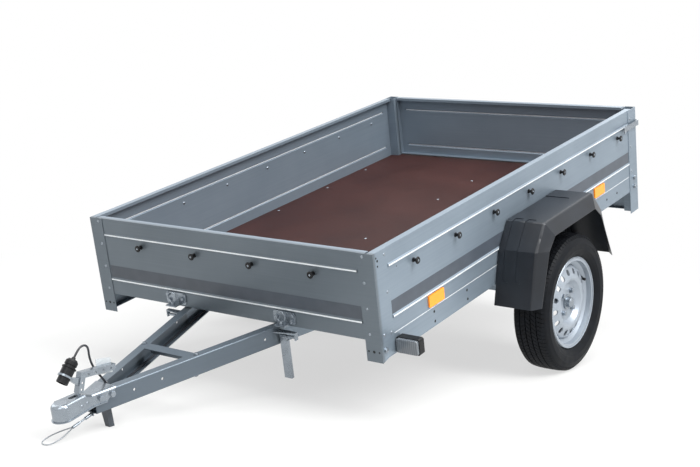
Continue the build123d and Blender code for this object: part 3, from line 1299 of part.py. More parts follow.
# Lamps and reflectors
MARKER_LENGTH = 90.0
MARKER_HEIGHT = 57.0
MARKER_BASE_X = BOX_LENGTH - MARKER_INSET - 40
with BuildPart() as front_marker_bases:
    for side in (-1, 1):
        with BuildSketch(section(MARKER_BASE_X)):
            with Locations((side * (SKIN_Y + MARKER_LENGTH / 2), MARKER_Z)):
                RectangleRounded(MARKER_LENGTH, MARKER_HEIGHT, 8)
        extrude(amount=28)
keep("front_marker_bases", front_marker_bases.part)

with BuildPart() as front_marker_lenses:
    for side in (-1, 1):
        with BuildSketch(section(MARKER_BASE_X + 28)):
            with Locations((side * (SKIN_Y + MARKER_LENGTH / 2 + 0.5), MARKER_Z)):
                RectangleRounded(MARKER_LENGTH - 7, MARKER_HEIGHT - 6, 7)
        extrude(amount=12)
    fillet(front_marker_lenses.faces().filter_by(Plane.YZ).group_by(Axis.X)[-1].edges(), 5)
keep("front_marker_lenses", front_marker_lenses.part)

REAR_LAMP_Y = HALF_WIDTH - REAR_LAMP_INSET
REAR_LAMP_LENGTH = 210.0
REAR_LAMP_HEIGHT = 76.0
REAR_LAMP_BASE = 6.0
REAR_LAMP_DEPTH = 25.0
with BuildPart() as rear_lamp_bases:
    for side in (-1, 1):
        with BuildSketch(section(-0.3)):
            with Locations((side * REAR_LAMP_Y, REAR_LAMP_Z)):
                RectangleRounded(REAR_LAMP_LENGTH, REAR_LAMP_HEIGHT, 10)
        extrude(amount=-REAR_LAMP_BASE)
keep("rear_lamp_bases", rear_lamp_bases.part)

with BuildPart() as rear_lamp_lenses:
    for side in (-1, 1):
        with BuildSketch(section(-0.3 - REAR_LAMP_BASE)):
            with Locations((side * REAR_LAMP_Y, REAR_LAMP_Z)):
                RectangleRounded(REAR_LAMP_LENGTH - 6, REAR_LAMP_HEIGHT - 6, 8)
        extrude(amount=REAR_LAMP_BASE - REAR_LAMP_DEPTH)
    fillet(rear_lamp_lenses.faces().filter_by(Plane.YZ).group_by(Axis.X)[0].edges(), 4)
keep("rear_lamp_lenses", rear_lamp_lenses.part)

with BuildPart() as side_reflectors:
    for side in (-1, 1):
        for reflector_x in (REFLECTOR_REAR_X, BOX_LENGTH - REFLECTOR_FRONT_INSET):
            with BuildSketch(across(side * SKIN_Y)):
                with Locations((reflector_x, REFLECTOR_Z)):
                    RectangleRounded(95, 42, 3)
            extrude(amount=-side * 6)
keep("side_reflectors", side_reflectors.part)

# Cover knobs: mushroom heads that the load cover's cord hooks under
KNOB_SECTION = ((8, 0), (8, 3), (5.5, 4), (5.5, 15), (12.5, 16.5), (12.5, 19), (10, 21))


def knob(place):
    """Revolve one knob out of its seat plane into the part being built."""
    section_plane = Plane(origin=place.origin, x_dir=place.x_dir, z_dir=-place.y_dir)
    with BuildPart(mode=Mode.ADD) as one_knob:
        with BuildSketch(section_plane):
            outline([(0, 0), *KNOB_SECTION, (0, KNOB_SECTION[-1][1])])
        revolve(axis=Axis(place.origin, place.z_dir))
    return one_knob.part


side_knob_places = evenly(SIDE_KNOB_REAR_X, BOX_LENGTH - SIDE_KNOB_FRONT_INSET, SIDE_KNOB_COUNT)
end_knob_places = evenly(END_KNOB_INSET - HALF_WIDTH, HALF_WIDTH - END_KNOB_INSET, END_KNOB_COUNT)
with BuildPart() as cover_knobs:
    for side in (-1, 1):
        for knob_x in side_knob_places:
            add(knob(Plane(origin=(knob_x, side * SKIN_Y, KNOB_Z), x_dir=(1, 0, 0), z_dir=(0, side, 0))))
    for knob_y in end_knob_places:
        add(knob(Plane(origin=(SKIN_X, knob_y, KNOB_Z), x_dir=(0, 1, 0), z_dir=(1, 0, 0))))
keep("cover_knobs", cover_knobs.part)

with BuildPart() as tailgate_knobs:
    for knob_y in end_knob_places:
        add(knob(Plane(origin=(GATE_SKIN_X, knob_y, KNOB_Z), x_dir=(0, 1, 0), z_dir=(-1, 0, 0))))
keep("tailgate_knobs", tailgate_knobs.part)

# Turn every piece as the trailer stands, over the middle of its length on the ground
CORD_PIECES = ("plug", "plug_cable", "rope_ferrules", "safety_rope")
NOSE_DOWN = Location(GROUND).inverse()
parked_boxes = [
    part.moved(NOSE_DOWN).bounding_box() for label, part in pieces.items() if label not in CORD_PIECES
]
rear_end = min(box.min.X for box in parked_boxes)
front_end = max(box.max.X for box in parked_boxes)
PARKED = Pos(-(rear_end + front_end) / 2, 0, 0) * NOSE_DOWN
os.makedirs("parts", exist_ok=True)
for label, part in pieces.items():
    parked = part.moved(PARKED)
    parked.label = label
    export_step(parked, f"parts/{label}.step")
print("parked pitch", round(PARKED_PITCH, 9), "pieces", len(pieces))
print("length", round(front_end - rear_end, 3), "shift", round(-(rear_end + front_end) / 2, 6))
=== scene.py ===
import bmesh
import bpy
import json
from math import asin, atan2, cos, hypot, pi, radians, sin, tan
from mathutils import Matrix, Vector


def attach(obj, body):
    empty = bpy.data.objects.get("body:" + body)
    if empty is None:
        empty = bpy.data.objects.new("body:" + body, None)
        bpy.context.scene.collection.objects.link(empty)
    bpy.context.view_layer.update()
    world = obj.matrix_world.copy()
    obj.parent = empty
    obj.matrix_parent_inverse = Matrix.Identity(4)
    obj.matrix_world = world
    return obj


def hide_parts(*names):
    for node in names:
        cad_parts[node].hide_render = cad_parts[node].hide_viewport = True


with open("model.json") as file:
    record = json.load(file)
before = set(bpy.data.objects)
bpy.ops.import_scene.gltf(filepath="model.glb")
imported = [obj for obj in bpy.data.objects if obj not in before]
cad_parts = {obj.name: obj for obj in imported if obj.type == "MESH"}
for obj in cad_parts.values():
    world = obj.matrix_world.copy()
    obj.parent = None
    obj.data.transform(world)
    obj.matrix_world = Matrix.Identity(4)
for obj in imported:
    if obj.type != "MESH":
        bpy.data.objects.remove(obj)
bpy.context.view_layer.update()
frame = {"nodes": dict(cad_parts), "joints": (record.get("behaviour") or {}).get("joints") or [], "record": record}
node = frame["nodes"]

# How the trailer stands. The CAD draws it level: X forward, Z up, from the rear end of
# the box. Parked, it is turned nose down about its foot until the tyres reach the ground.
FOOT_X, FOOT_Z = 2.655, -0.071
AXLE_X, AXLE_Z = 0.987, -0.160
TYRE_RADIUS = 0.268
WHEEL_CENTRE_Y = 0.7485
PITCH = atan2(FOOT_Z - AXLE_Z, FOOT_X - AXLE_X) + asin(
    TYRE_RADIUS / hypot(FOOT_X - AXLE_X, FOOT_Z - AXLE_Z)
)
turned = (
    Matrix.Rotation(PITCH, 4, "Y")
    @ Matrix.Translation((-FOOT_X, 0, -FOOT_Z))
)
wheel_joint = next(joint for joint in frame["joints"] if joint["name"] == "wheel_left_spin")
SHIFT_X = wheel_joint["pos_m"][0] - (turned @ Vector((AXLE_X, 0, AXLE_Z))).x
STANCE = Matrix.Translation((SHIFT_X, 0, 0)) @ turned

# Sizes that the CAD also uses, in metres
BOX_LENGTH = 2.040
HALF_WIDTH = 0.650
SKIN_Y = 0.648
SKIN_X = 2.038
RIDGE_Z = (0.135, 0.312)


# Small helpers


def linear(hex_code):
    """An sRGB hex colour as linear RGBA."""
    channels = [int(hex_code[i:i + 2], 16) / 255 for i in (1, 3, 5)]
    return tuple(
        c / 12.92 if c <= 0.04045 else ((c + 0.055) / 1.055) ** 2.4 for c in channels
    ) + (1.0,)


def add_node(tree, kind, settings=(), **links):
    """Add a node, set its properties, colour stops and input values, and link what comes in."""
    made = tree.nodes.new(kind)
    for name, value in dict(settings).items():
        if name == "stops":
            elements = made.color_ramp.elements
            while len(elements) < len(value):
                elements.new(0.5)
            for element, (position, hex_code) in zip(elements, value):
                element.position = position
                element.color = linear(hex_code)
        elif hasattr(made, name):
            setattr(made, name, value)
        else:
            made.inputs[name].default_value = value
    for name, source in links.items():
        tree.links.new(source, made.inputs[name.replace("_", " ")])
    return made


def level_coordinates(tree):
    """Object coordinates turned back to the level trailer, in metres."""
    place = add_node(tree, "ShaderNodeTexCoord")
    turn = add_node(tree, "ShaderNodeMapping", Vector=place.outputs["Object"])
    back = STANCE.inverted()
    turn.inputs["Location"].default_value = back.translation
    turn.inputs["Rotation"].default_value = back.to_euler()
    return turn.outputs["Vector"]


def new_material(name):
    """A node material, its tree and its main shader."""
    material = bpy.data.materials.new(name)
    material.use_nodes = True
    tree = material.node_tree
    shader = tree.nodes["Principled BSDF"]
    return material, tree, shader


# Materials


def galvanised_steel():
    """Galvanised sheet, skin-passed after the zinc bath: satin blue-grey, with painted shade that darkens it in
    front.
    """
    material, tree, shader = new_material("galvanised_steel")
    where = level_coordinates(tree)
    # Clouds of colour about 300 mm across, and rolling lines along the sheet about 4 mm apart
    clouds = add_node(tree, "ShaderNodeTexNoise", {"Scale": 1 / 0.3, "Detail": 3.0}, Vector=where)
    stretch = add_node(tree, "ShaderNodeMapping", Vector=where)
    stretch.inputs["Scale"].default_value = (2.0, 2.0, 250.0)
    lines = add_node(tree, "ShaderNodeTexNoise", {"Scale": 1.0, "Detail": 2.0},
                     Vector=stretch.outputs["Vector"])
    mixed = add_node(tree, "ShaderNodeMix", {"data_type": "FLOAT"})
    mixed.inputs[0].default_value = 0.3
    tree.links.new(clouds.outputs["Fac"], mixed.inputs[2])
    tree.links.new(lines.outputs["Fac"], mixed.inputs[3])
    colour = add_node(tree, "ShaderNodeValToRGB", {
        "stops": [(0.25, "#7a8793"), (0.5, "#828f9b"), (0.75, "#8a97a3")],
    }, Fac=mixed.outputs[0])
    # Painted shade, set to the photograph's tones: darker from x = 2.02 m on, which takes in the front
    # panel and the posts' front faces, and again from 2.06 m, on the drawbar ahead of the box
    split = add_node(tree, "ShaderNodeSeparateXYZ", Vector=where)
    front_shade_share = add_node(tree, "ShaderNodeMapRange", {
        "From Min": 2.0, "From Max": 2.1, "To Min": 0.0, "To Max": 1.0,
    }, Value=split.outputs["X"])
    painted_front_shade = add_node(tree, "ShaderNodeValToRGB", {
        "stops": [
            (0.0, "#ffffff"), (0.22, "#ffffff"), (0.34, "#cbc9c6"), (0.6, "#cbc9c6"), (0.7, "#bcbdbe"),
        ],
    }, Fac=front_shade_share.outputs["Result"])
    # The painted shade darkens the sheet's colour here
    colour_with_shade = add_node(tree, "ShaderNodeMix", {"data_type": "RGBA", "blend_type": "MULTIPLY"})
    colour_with_shade.inputs[0].default_value = 1.0
    tree.links.new(colour.outputs["Color"], colour_with_shade.inputs[6])
    tree.links.new(painted_front_shade.outputs["Color"], colour_with_shade.inputs[7])
    tree.links.new(colour_with_shade.outputs[2], shader.inputs["Base Color"])
    dulling = add_node(tree, "ShaderNodeMapRange", {
        "From Min": 0.3, "From Max": 0.7, "To Min": 0.42, "To Max": 0.34,
    }, Value=mixed.outputs[0])
    tree.links.new(dulling.outputs["Result"], shader.inputs["Roughness"])
    shader.inputs["Metallic"].default_value = 0.45
    relief = add_node(tree, "ShaderNodeBump", {
        "Distance": 0.0002, "Strength": 0.08,
    }, Height=lines.outputs["Fac"])
    tree.links.new(relief.outputs["Normal"], shader.inputs["Normal"])
    return material


def painted_crest_highlight():
    """Painted highlight on the sheet's ridges and lower fold: near-white strips that stand in for the light their
    crests catch.
    """
    material, tree, shader = new_material("painted_crest_highlight")
    where = level_coordinates(tree)
    highlight_variation = add_node(tree, "ShaderNodeTexNoise", {"Scale": 1 / 0.05, "Detail": 3.0}, Vector=where)
    colour = add_node(tree, "ShaderNodeValToRGB", {
        "stops": [(0.3, "#dfe5ea"), (0.7, "#f3f6f8")],
    }, Fac=highlight_variation.outputs["Fac"])
    tree.links.new(colour.outputs["Color"], shader.inputs["Base Color"])
    dulling = add_node(tree, "ShaderNodeMapRange", {
        "From Min": 0.3, "From Max": 0.7, "To Min": 0.4, "To Max": 0.28,
    }, Value=highlight_variation.outputs["Fac"])
    tree.links.new(dulling.outputs["Result"], shader.inputs["Roughness"])
    shader.inputs["Metallic"].default_value = 0.25
    return material


def zinc_plate():
    """Bright zinc-plated fittings: smoother than the sheet, with clear highlights."""
    material, tree, shader = new_material("zinc_plate")
    where = level_coordinates(tree)
    handling = add_node(
        tree, "ShaderNodeTexNoise", {"Scale": 1 / 0.04, "Detail": 3.0}, Vector=where,
    )
    colour = add_node(tree, "ShaderNodeValToRGB", {
        "stops": [(0.3, "#8b939b"), (0.7, "#979fa7")],
    }, Fac=handling.outputs["Fac"])
    tree.links.new(colour.outputs["Color"], shader.inputs["Base Color"])
    dulling = add_node(tree, "ShaderNodeMapRange", {
        "From Min": 0.3, "From Max": 0.7, "To Min": 0.3, "To Max": 0.24,
    }, Value=handling.outputs["Fac"])
    tree.links.new(dulling.outputs["Result"], shader.inputs["Roughness"])
    shader.inputs["Metallic"].default_value = 0.8
    return material


def film_faced_plywood():
    """Phenolic film on plywood, pressed: dark red-brown with a fine non-slip mesh."""
    material, tree, shader = new_material("film_faced_plywood")
    where = level_coordinates(tree)
    stains = add_node(tree, "ShaderNodeTexNoise", {"Scale": 1 / 0.25, "Detail": 6.0}, Vector=where)
    colour = add_node(tree, "ShaderNodeValToRGB", {
        "stops": [(0.3, "#2c1817"), (0.55, "#341e1c"), (0.8, "#3d2523")],
    }, Fac=stains.outputs["Fac"])
    tree.links.new(colour.outputs["Color"], shader.inputs["Base Color"])
    dulling = add_node(tree, "ShaderNodeMapRange", {
        "From Min": 0.3, "From Max": 0.8, "To Min": 0.5, "To Max": 0.62,
    }, Value=stains.outputs["Fac"])
    tree.links.new(dulling.outputs["Result"], shader.inputs["Roughness"])
    shader.inputs["Specular IOR Level"].default_value = 0.15
    # The mesh is taken as 2.5 mm in pitch and drawn at 6 mm so that it shows
    mesh = add_node(tree, "ShaderNodeTexBrick", {
        "Scale": 1 / 0.006, "Mortar Size": 0.12, "Bias": 0.0, "offset": 0.5,
        "Brick Width": 1.0, "Row Height": 1.0,
    }, Vector=where)
    relief = add_node(tree, "ShaderNodeBump", {
        "Distance": 0.0003, "Strength": 0.5,
    }, Height=mesh.outputs["Fac"])
    tree.links.new(relief.outputs["Normal"], shader.inputs["Normal"])
    return material


def moulded_polyethylene():
    """Blow-moulded polyethylene: near black, satin, with a fine orange-peel grain."""
    material, tree, shader = new_material("moulded_polyethylene")
    where = level_coordinates(tree)
    # Grain of 1.5 mm, taken as 0.8 mm and drawn coarser so that it shows
    grain = add_node(tree, "ShaderNodeTexNoise", {"Scale": 1 / 0.0015, "Detail": 2.0}, Vector=where)
    fade = add_node(tree, "ShaderNodeTexNoise", {"Scale": 1 / 0.12, "Detail": 4.0}, Vector=where)
    colour = add_node(tree, "ShaderNodeValToRGB", {
        "stops": [(0.3, "#12161c"), (0.7, "#1a1f26")],
    }, Fac=fade.outputs["Fac"])
    tree.links.new(colour.outputs["Color"], shader.inputs["Base Color"])
    shader.inputs["Roughness"].default_value = 0.36
    shader.inputs["Specular IOR Level"].default_value = 0.45
    shader.inputs["IOR"].default_value = 1.5
    relief = add_node(tree, "ShaderNodeBump", {
        "Distance": 0.0003, "Strength": 0.4,
    }, Height=grain.outputs["Fac"])
    tree.links.new(relief.outputs["Normal"], shader.inputs["Normal"])
    return material


def tyre_rubber():
    """Tyre rubber, moulded and a little chalky: near black, matt on the tread."""
    material, tree, shader = new_material("tyre_rubber")
    where = level_coordinates(tree)
    dust = add_node(tree, "ShaderNodeTexNoise", {"Scale": 1 / 0.03, "Detail": 5.0}, Vector=where)
    colour = add_node(tree, "ShaderNodeValToRGB", {
        "stops": [(0.35, "#0d0f13"), (0.75, "#15181d")],
    }, Fac=dust.outputs["Fac"])
    tree.links.new(colour.outputs["Color"], shader.inputs["Base Color"])
    dulling = add_node(tree, "ShaderNodeMapRange", {
        "From Min": 0.3, "From Max": 0.7, "To Min": 0.5, "To Max": 0.66,
    }, Value=dust.outputs["Fac"])
    tree.links.new(dulling.outputs["Result"], shader.inputs["Roughness"])
    shader.inputs["Specular IOR Level"].default_value = 0.14
    return material


def silver_lacquer():
    """Silver wheel lacquer over steel: fine metal flake under a satin clear coat."""
    material, tree, shader = new_material("silver_lacquer")
    where = level_coordinates(tree)
    # Flake is far finer than 1 mm and is drawn at 1 mm
    flake = add_node(tree, "ShaderNodeTexVoronoi", {"Scale": 1 / 0.001}, Vector=where)
    colour = add_node(tree, "ShaderNodeValToRGB", {
        "stops": [(0.0, "#a7afb8"), (1.0, "#98a1ab")],
    }, Fac=flake.outputs["Distance"])
    tree.links.new(colour.outputs["Color"], shader.inputs["Base Color"])
    shader.inputs["Metallic"].default_value = 0.5
    shader.inputs["Roughness"].default_value = 0.44
    shader.inputs["Coat Weight"].default_value = 0.15
    shader.inputs["Coat Roughness"].default_value = 0.25
    return material


def amber_acrylic():
    """Moulded acrylic reflector: glossy amber over a fine grid of prisms, with a faint painted glow."""
    material, tree, shader = new_material("amber_acrylic")
    where = level_coordinates(tree)
    # Prism cells of 3 mm
    prisms = add_node(tree, "ShaderNodeTexVoronoi", {
        "Scale": 1 / 0.003, "Randomness": 0.0, "distance": "CHEBYCHEV",
    }, Vector=where)
    colour = add_node(tree, "ShaderNodeValToRGB", {
        "stops": [(0.0, "#ffa51f"), (0.5, "#ff8f00"), (1.0, "#f58200")],
    }, Fac=prisms.outputs["Distance"])
    tree.links.new(colour.outputs["Color"], shader.inputs["Base Color"])
    shader.inputs["Roughness"].default_value = 0.18
    shader.inputs["Coat Weight"].default_value = 0.2
    # Painted glow: the reflector gives off faint amber light, though it is no lamp
    shader.inputs["Emission Color"].default_value = linear("#ff9500")
    shader.inputs["Emission Strength"].default_value = 0.18
    return material


def clear_polycarbonate():
    """Clear moulded lamp lens: the dark lamp body shows through it, with upright flutes."""
    material, tree, shader = new_material("clear_polycarbonate")
    where = level_coordinates(tree)
    # Flutes about 8 mm apart: a wave repeats every 0.31 of its scale
    flutes = add_node(tree, "ShaderNodeTexWave", {
        "Scale": 1 / 0.025, "bands_direction": "Y",
    }, Vector=where)
    colour = add_node(tree, "ShaderNodeValToRGB", {
        "stops": [(0.2, "#6b7178"), (0.8, "#7d848b")],
    }, Fac=flutes.outputs["Fac"])
    tree.links.new(colour.outputs["Color"], shader.inputs["Base Color"])
    shader.inputs["Roughness"].default_value = 0.12
    shader.inputs["Transmission Weight"].default_value = 0.3
    shader.inputs["IOR"].default_value = 1.58
    relief = add_node(tree, "ShaderNodeBump", {
        "Distance": 0.0005, "Strength": 0.25,
    }, Height=flutes.outputs["Fac"])
    tree.links.new(relief.outputs["Normal"], shader.inputs["Normal"])
    return material


def lamp_acrylic():
    """Rear lamp acrylic: deep red, with an amber end and a clear strip, over fine flutes."""
    material, tree, shader = new_material("lamp_acrylic")
    where = level_coordinates(tree)
    split = add_node(tree, "ShaderNodeSeparateXYZ", Vector=where)
    outward = add_node(tree, "ShaderNodeMath", {"operation": "ABSOLUTE"})
    tree.links.new(split.outputs["Y"], outward.inputs[0])
    # The lamp runs from 430 to 640 mm off the middle
    outward_share = add_node(tree, "ShaderNodeMapRange", {
        "From Min": 0.43, "From Max": 0.64, "To Min": 0.0, "To Max": 1.0,
    }, Value=outward.outputs[0])
    colour = add_node(tree, "ShaderNodeValToRGB", {
        "stops": [(0.0, "#e8e6e2"), (0.2, "#b80f14"), (0.7, "#f08a1c")],
    }, Fac=outward_share.outputs["Result"])
    colour.color_ramp.interpolation = "CONSTANT"
    tree.links.new(colour.outputs["Color"], shader.inputs["Base Color"])
    # Flutes about 4 mm apart
    flutes = add_node(tree, "ShaderNodeTexWave", {
        "Scale": 1 / 0.014, "bands_direction": "Y",
    }, Vector=where)
    shader.inputs["Roughness"].default_value = 0.16
    shader.inputs["Coat Weight"].default_value = 0.5
    relief = add_node(tree, "ShaderNodeBump", {
        "Distance": 0.0008, "Strength": 0.4,
    }, Height=flutes.outputs["Fac"])
    tree.links.new(relief.outputs["Normal"], shader.inputs["Normal"])
    return material


def black_nylon():
    """Moulded nylon for lamp bases, knobs, plug and cable clamp: black and slightly worn."""
    material, tree, shader = new_material("black_nylon")
    where = level_coordinates(tree)
    wear = add_node(tree, "ShaderNodeTexNoise", {"Scale": 1 / 0.01, "Detail": 3.0}, Vector=where)
    colour = add_node(tree, "ShaderNodeValToRGB", {
        "stops": [(0.3, "#07080a"), (0.7, "#101215")],
    }, Fac=wear.outputs["Fac"])
    tree.links.new(colour.outputs["Color"], shader.inputs["Base Color"])
    shader.inputs["Roughness"].default_value = 0.42
    shader.inputs["Specular IOR Level"].default_value = 0.3
    relief = add_node(tree, "ShaderNodeBump", {
        "Distance": 0.0002, "Strength": 0.2,
    }, Height=wear.outputs["Fac"])
    tree.links.new(relief.outputs["Normal"], shader.inputs["Normal"])
    return material


def black_enamel():
    """Dark grey paint on the foot: semi-gloss, dulled by dust."""
    material, tree, shader = new_material("black_enamel")
    where = level_coordinates(tree)
    dust = add_node(tree, "ShaderNodeTexNoise", {"Scale": 1 / 0.03, "Detail": 4.0}, Vector=where)
    colour = add_node(tree, "ShaderNodeValToRGB", {
        "stops": [(0.35, "#363c44"), (0.7, "#464d56")],
    }, Fac=dust.outputs["Fac"])
    tree.links.new(colour.outputs["Color"], shader.inputs["Base Color"])
    shader.inputs["Roughness"].default_value = 0.4
    return material


def blank_aluminium():
    """Blank aluminium plate: pale, brushed one way."""
    material, tree, shader = new_material("blank_aluminium")
    where = level_coordinates(tree)
    brushed = add_node(tree, "ShaderNodeTexNoise", {"Scale": 1.0, "Detail": 3.0})
    stretch = add_node(tree, "ShaderNodeMapping", Vector=where)
    stretch.inputs["Scale"].default_value = (40.0, 40.0, 900.0)
    tree.links.new(stretch.outputs["Vector"], brushed.inputs["Vector"])
    colour = add_node(tree, "ShaderNodeValToRGB", {
        "stops": [(0.3, "#c3c9cc"), (0.7, "#dfe3e5")],
    }, Fac=brushed.outputs["Fac"])
    tree.links.new(colour.outputs["Color"], shader.inputs["Base Color"])
    shader.inputs["Metallic"].default_value = 0.4
    shader.inputs["Roughness"].default_value = 0.4
    return material


def stripe_vinyl():
    """Vinyl film: a flat, smooth slate band along the panels."""
    material, tree, shader = new_material("stripe_vinyl")
    where = level_coordinates(tree)
    mottle = add_node(tree, "ShaderNodeTexNoise", {"Scale": 1 / 0.05, "Detail": 2.0}, Vector=where)
    colour = add_node(tree, "ShaderNodeValToRGB", {
        "stops": [(0.3, "#424952"), (0.7, "#49505a")],
    }, Fac=mottle.outputs["Fac"])
    tree.links.new(colour.outputs["Color"], shader.inputs["Base Color"])
    shader.inputs["Roughness"].default_value = 0.38
    return material


def cable_sheath():
    """Soft PVC cable sheath: black with a low sheen."""
    material, tree, shader = new_material("cable_sheath")
    where = level_coordinates(tree)
    smear = add_node(tree, "ShaderNodeTexNoise", {"Scale": 1 / 0.015, "Detail": 3.0}, Vector=where)
    colour = add_node(tree, "ShaderNodeValToRGB", {
        "stops": [(0.3, "#1c1e22"), (0.7, "#2c2f35")],
    }, Fac=smear.outputs["Fac"])
    tree.links.new(colour.outputs["Color"], shader.inputs["Base Color"])
    shader.inputs["Roughness"].default_value = 0.4
    return material


def steel_rope():
    """Galvanised wire rope: strands laid round each other along the curve."""
    material, tree, shader = new_material("steel_rope")
    along = add_node(tree, "ShaderNodeTexCoord")
    # One strand shows about every 1.3 mm of the 264 mm loop, slanted across it, which is finer
    # than the 4 mm or so that a rope of this size would show
    slant = add_node(tree, "ShaderNodeMapping", Vector=along.outputs["UV"])
    slant.inputs["Scale"].default_value = (66.0, 3.0, 1.0)
    slant.inputs["Rotation"].default_value = (0, 0, radians(20))
    strands = add_node(tree, "ShaderNodeTexWave", {"Scale": 1.0, "bands_direction": "X"},
                       Vector=slant.outputs["Vector"])
    colour = add_node(tree, "ShaderNodeValToRGB", {
        "stops": [(0.1, "#6f757b"), (0.6, "#a6abb0")],
    }, Fac=strands.outputs["Fac"])
    tree.links.new(colour.outputs["Color"], shader.inputs["Base Color"])
    shader.inputs["Metallic"].default_value = 0.6
    shader.inputs["Roughness"].default_value = 0.4
    relief = add_node(tree, "ShaderNodeBump", {
        "Distance": 0.0004, "Strength": 0.6,
    }, Height=strands.outputs["Fac"])
    tree.links.new(relief.outputs["Normal"], shader.inputs["Normal"])
    return material


def painted_hole_shade():
    """Painted shade standing in for the dark inside of a punched hole."""
    material, tree, shader = new_material("painted_hole_shade")
    shader.inputs["Base Color"].default_value = linear("#15171a")
    shader.inputs["Roughness"].default_value = 0.8
    return material


FINISHES = {
    "galvanised_sheet": galvanised_steel(),
    "zinc_hardware": zinc_plate(),
    "floor_film": film_faced_plywood(),
    "guard_plastic": moulded_polyethylene(),
    "tyre_rubber": tyre_rubber(),
    "rim_silver": silver_lacquer(),
    "amber_reflector": amber_acrylic(),
    "clear_lens": clear_polycarbonate(),
    "red_lens": lamp_acrylic(),
    "black_plastic": black_nylon(),
    "black_paint": black_enamel(),
    "pale_plate": blank_aluminium(),
    "cable_rubber": cable_sheath(),
    "rope_steel": steel_rope(),
}
STRIPE = stripe_vinyl()
CREST_HIGHLIGHT = painted_crest_highlight()
HOLE_SHADE = painted_hole_shade()

for entry in frame["record"]["subparts"]:
    slots = node[entry["node"]].data.materials
    slots.clear()
    slots.append(FINISHES[entry["material_slot"]])


# Mesh helpers


SHARP_ANGLE = radians(35)


def piece_from(name, body, material, build, smooth=True):
    """A piece drawn level by build(bm) and turned to the parked stance within its mesh."""
    bm = bmesh.new()
    build(bm)
    bmesh.ops.transform(bm, matrix=STANCE, verts=bm.verts)
    bmesh.ops.recalc_face_normals(bm, faces=bm.faces)
    mesh = bpy.data.meshes.new(name)
    bm.to_mesh(mesh)
    bm.free()
    made = bpy.data.objects.new(name, mesh)
    bpy.context.scene.collection.objects.link(made)
    mesh.materials.append(material)
    for polygon in mesh.polygons:
        polygon.use_smooth = smooth
    if smooth:
        mesh.set_sharp_from_angle(angle=SHARP_ANGLE)
    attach(made, body)
    return made


def facing(axis):
    """Turn that takes a fitting drawn along +Z to stand along an axis."""
    return Vector((0, 0, 1)).rotation_difference(Vector(axis)).to_matrix().to_4x4()


def add_block(bm, centre, size):
    """A plain block."""
    made = bmesh.ops.create_cube(bm, size=1.0)["verts"]
    bmesh.ops.scale(bm, vec=size, verts=made)
    bmesh.ops.translate(bm, vec=centre, verts=made)


def add_disc(bm, centre, axis, radius, height, sides=24, top_bevel=0.0):
    """A short cylinder that stands on centre along axis."""
    made = bmesh.ops.create_cone(
        bm, cap_ends=True, segments=sides, radius1=radius, radius2=radius, depth=height
    )["verts"]
    bmesh.ops.translate(bm, vec=(0, 0, height / 2), verts=made)
    if top_bevel:
        rim = [
            edge for edge in {edge for vert in made for edge in vert.link_edges}
            if all(vert.co.z > height * 0.99 for vert in edge.verts)
        ]
        made = list(made) + bmesh.ops.bevel(
            bm, geom=rim, offset=top_bevel, offset_type="OFFSET", segments=2,
            profile=0.5, affect="EDGES", material=-1, clamp_overlap=True,
        )["verts"]
        made = [vert for vert in set(made) if vert.is_valid]
    bmesh.ops.transform(bm, matrix=Matrix.Translation(centre) @ facing(axis), verts=made)


WASHER_HEIGHT = 0.0012
CORNERS_OVER_FLATS = 1.155
# Share of a head's height that is bevelled off its edge
HEAD_BEVEL = 0.2
# The raised round on a head: radius as a share of its width, height, sink
ROUND_SHARE, ROUND_HEIGHT, ROUND_SINK = 0.3, 0.0006, 0.0002


def add_bolt(bm, centre, axis, across, height, washer=0.0):
    """A hexagon bolt head, on a washer if one is given by its radius."""
    centre = Vector(centre)
    axis = Vector(axis)
    if washer:
        add_disc(bm, centre, axis, washer, WASHER_HEIGHT, 20)
        centre = centre + axis * WASHER_HEIGHT
    corner = across / 2 * CORNERS_OVER_FLATS
    add_disc(bm, centre, axis, corner, height, 6, top_bevel=height * HEAD_BEVEL)
    top = centre + axis * (height - ROUND_SINK)
    add_disc(bm, top, axis, across * ROUND_SHARE, ROUND_HEIGHT, 16)


def add_dome(bm, centre, axis, radius, height):
    """A round rivet or screw head."""
    made = bmesh.ops.create_uvsphere(bm, u_segments=16, v_segments=10, radius=radius)["verts"]
    low = [vert for vert in made if vert.co.z < -1e-6]
    bmesh.ops.delete(bm, geom=low, context="VERTS")
    made = [vert for vert in made if vert.is_valid]
    bmesh.ops.scale(bm, vec=(1, 1, height / radius), verts=made)
    bmesh.ops.transform(bm, matrix=Matrix.Translation(centre) @ facing(axis), verts=made)


# Stripes

SIDE_STRIPE_X = (0.084, 1.960)
FRONT_STRIPE_Y = 0.583
STRIPE_Z = (0.1432, 0.190)
VINYL = 0.0003
# Films lie this far off the sheet, so that their faces don't coincide with it
FILM_GAP = 0.0001


def build_side_stripe(side):
    def build(bm):
        (rear_x, front_x), (low, high) = SIDE_STRIPE_X, STRIPE_Z
        middle = ((rear_x + front_x) / 2, side * (SKIN_Y + VINYL / 2 + FILM_GAP), (low + high) / 2)
        add_block(bm, middle, (front_x - rear_x, VINYL, high - low))
    return build


for side, hand in ((1, "left"), (-1, "right")):
    piece_from(
        f"stripe_{hand}", "load_box", STRIPE, build_side_stripe(side), smooth=False
    )


def build_front_stripe(bm):
    low, high = STRIPE_Z
    middle = (SKIN_X + VINYL / 2 + FILM_GAP, 0, (low + high) / 2)
    add_block(bm, middle, (VINYL, 2 * FRONT_STRIPE_Y, high - low))


piece_from("stripe_front", "load_box", STRIPE, build_front_stripe, smooth=False)


# Painted highlights: near-white films along the crests of the rolled ridges and the lower fold, where light would
# catch them

RIDGE_CREST = 0.004
CREST_HEIGHT = 0.0052
INNER_CREST_HEIGHT = CREST_HEIGHT * 0.75
INNER_CREST_SHORTER = 0.006
CREST_FILM = 0.0003
CREST_LIFT = CREST_FILM / 2 + FILM_GAP
FOLD_Z = 0.0765
FOLD_HEIGHT = 0.0022
SHEET = 0.002
SIDE_RIDGE = (0.085, 1.959)
END_RIDGE = 0.582
GATE_RIDGE = 0.566
GATE_SKIN_X = 0.004


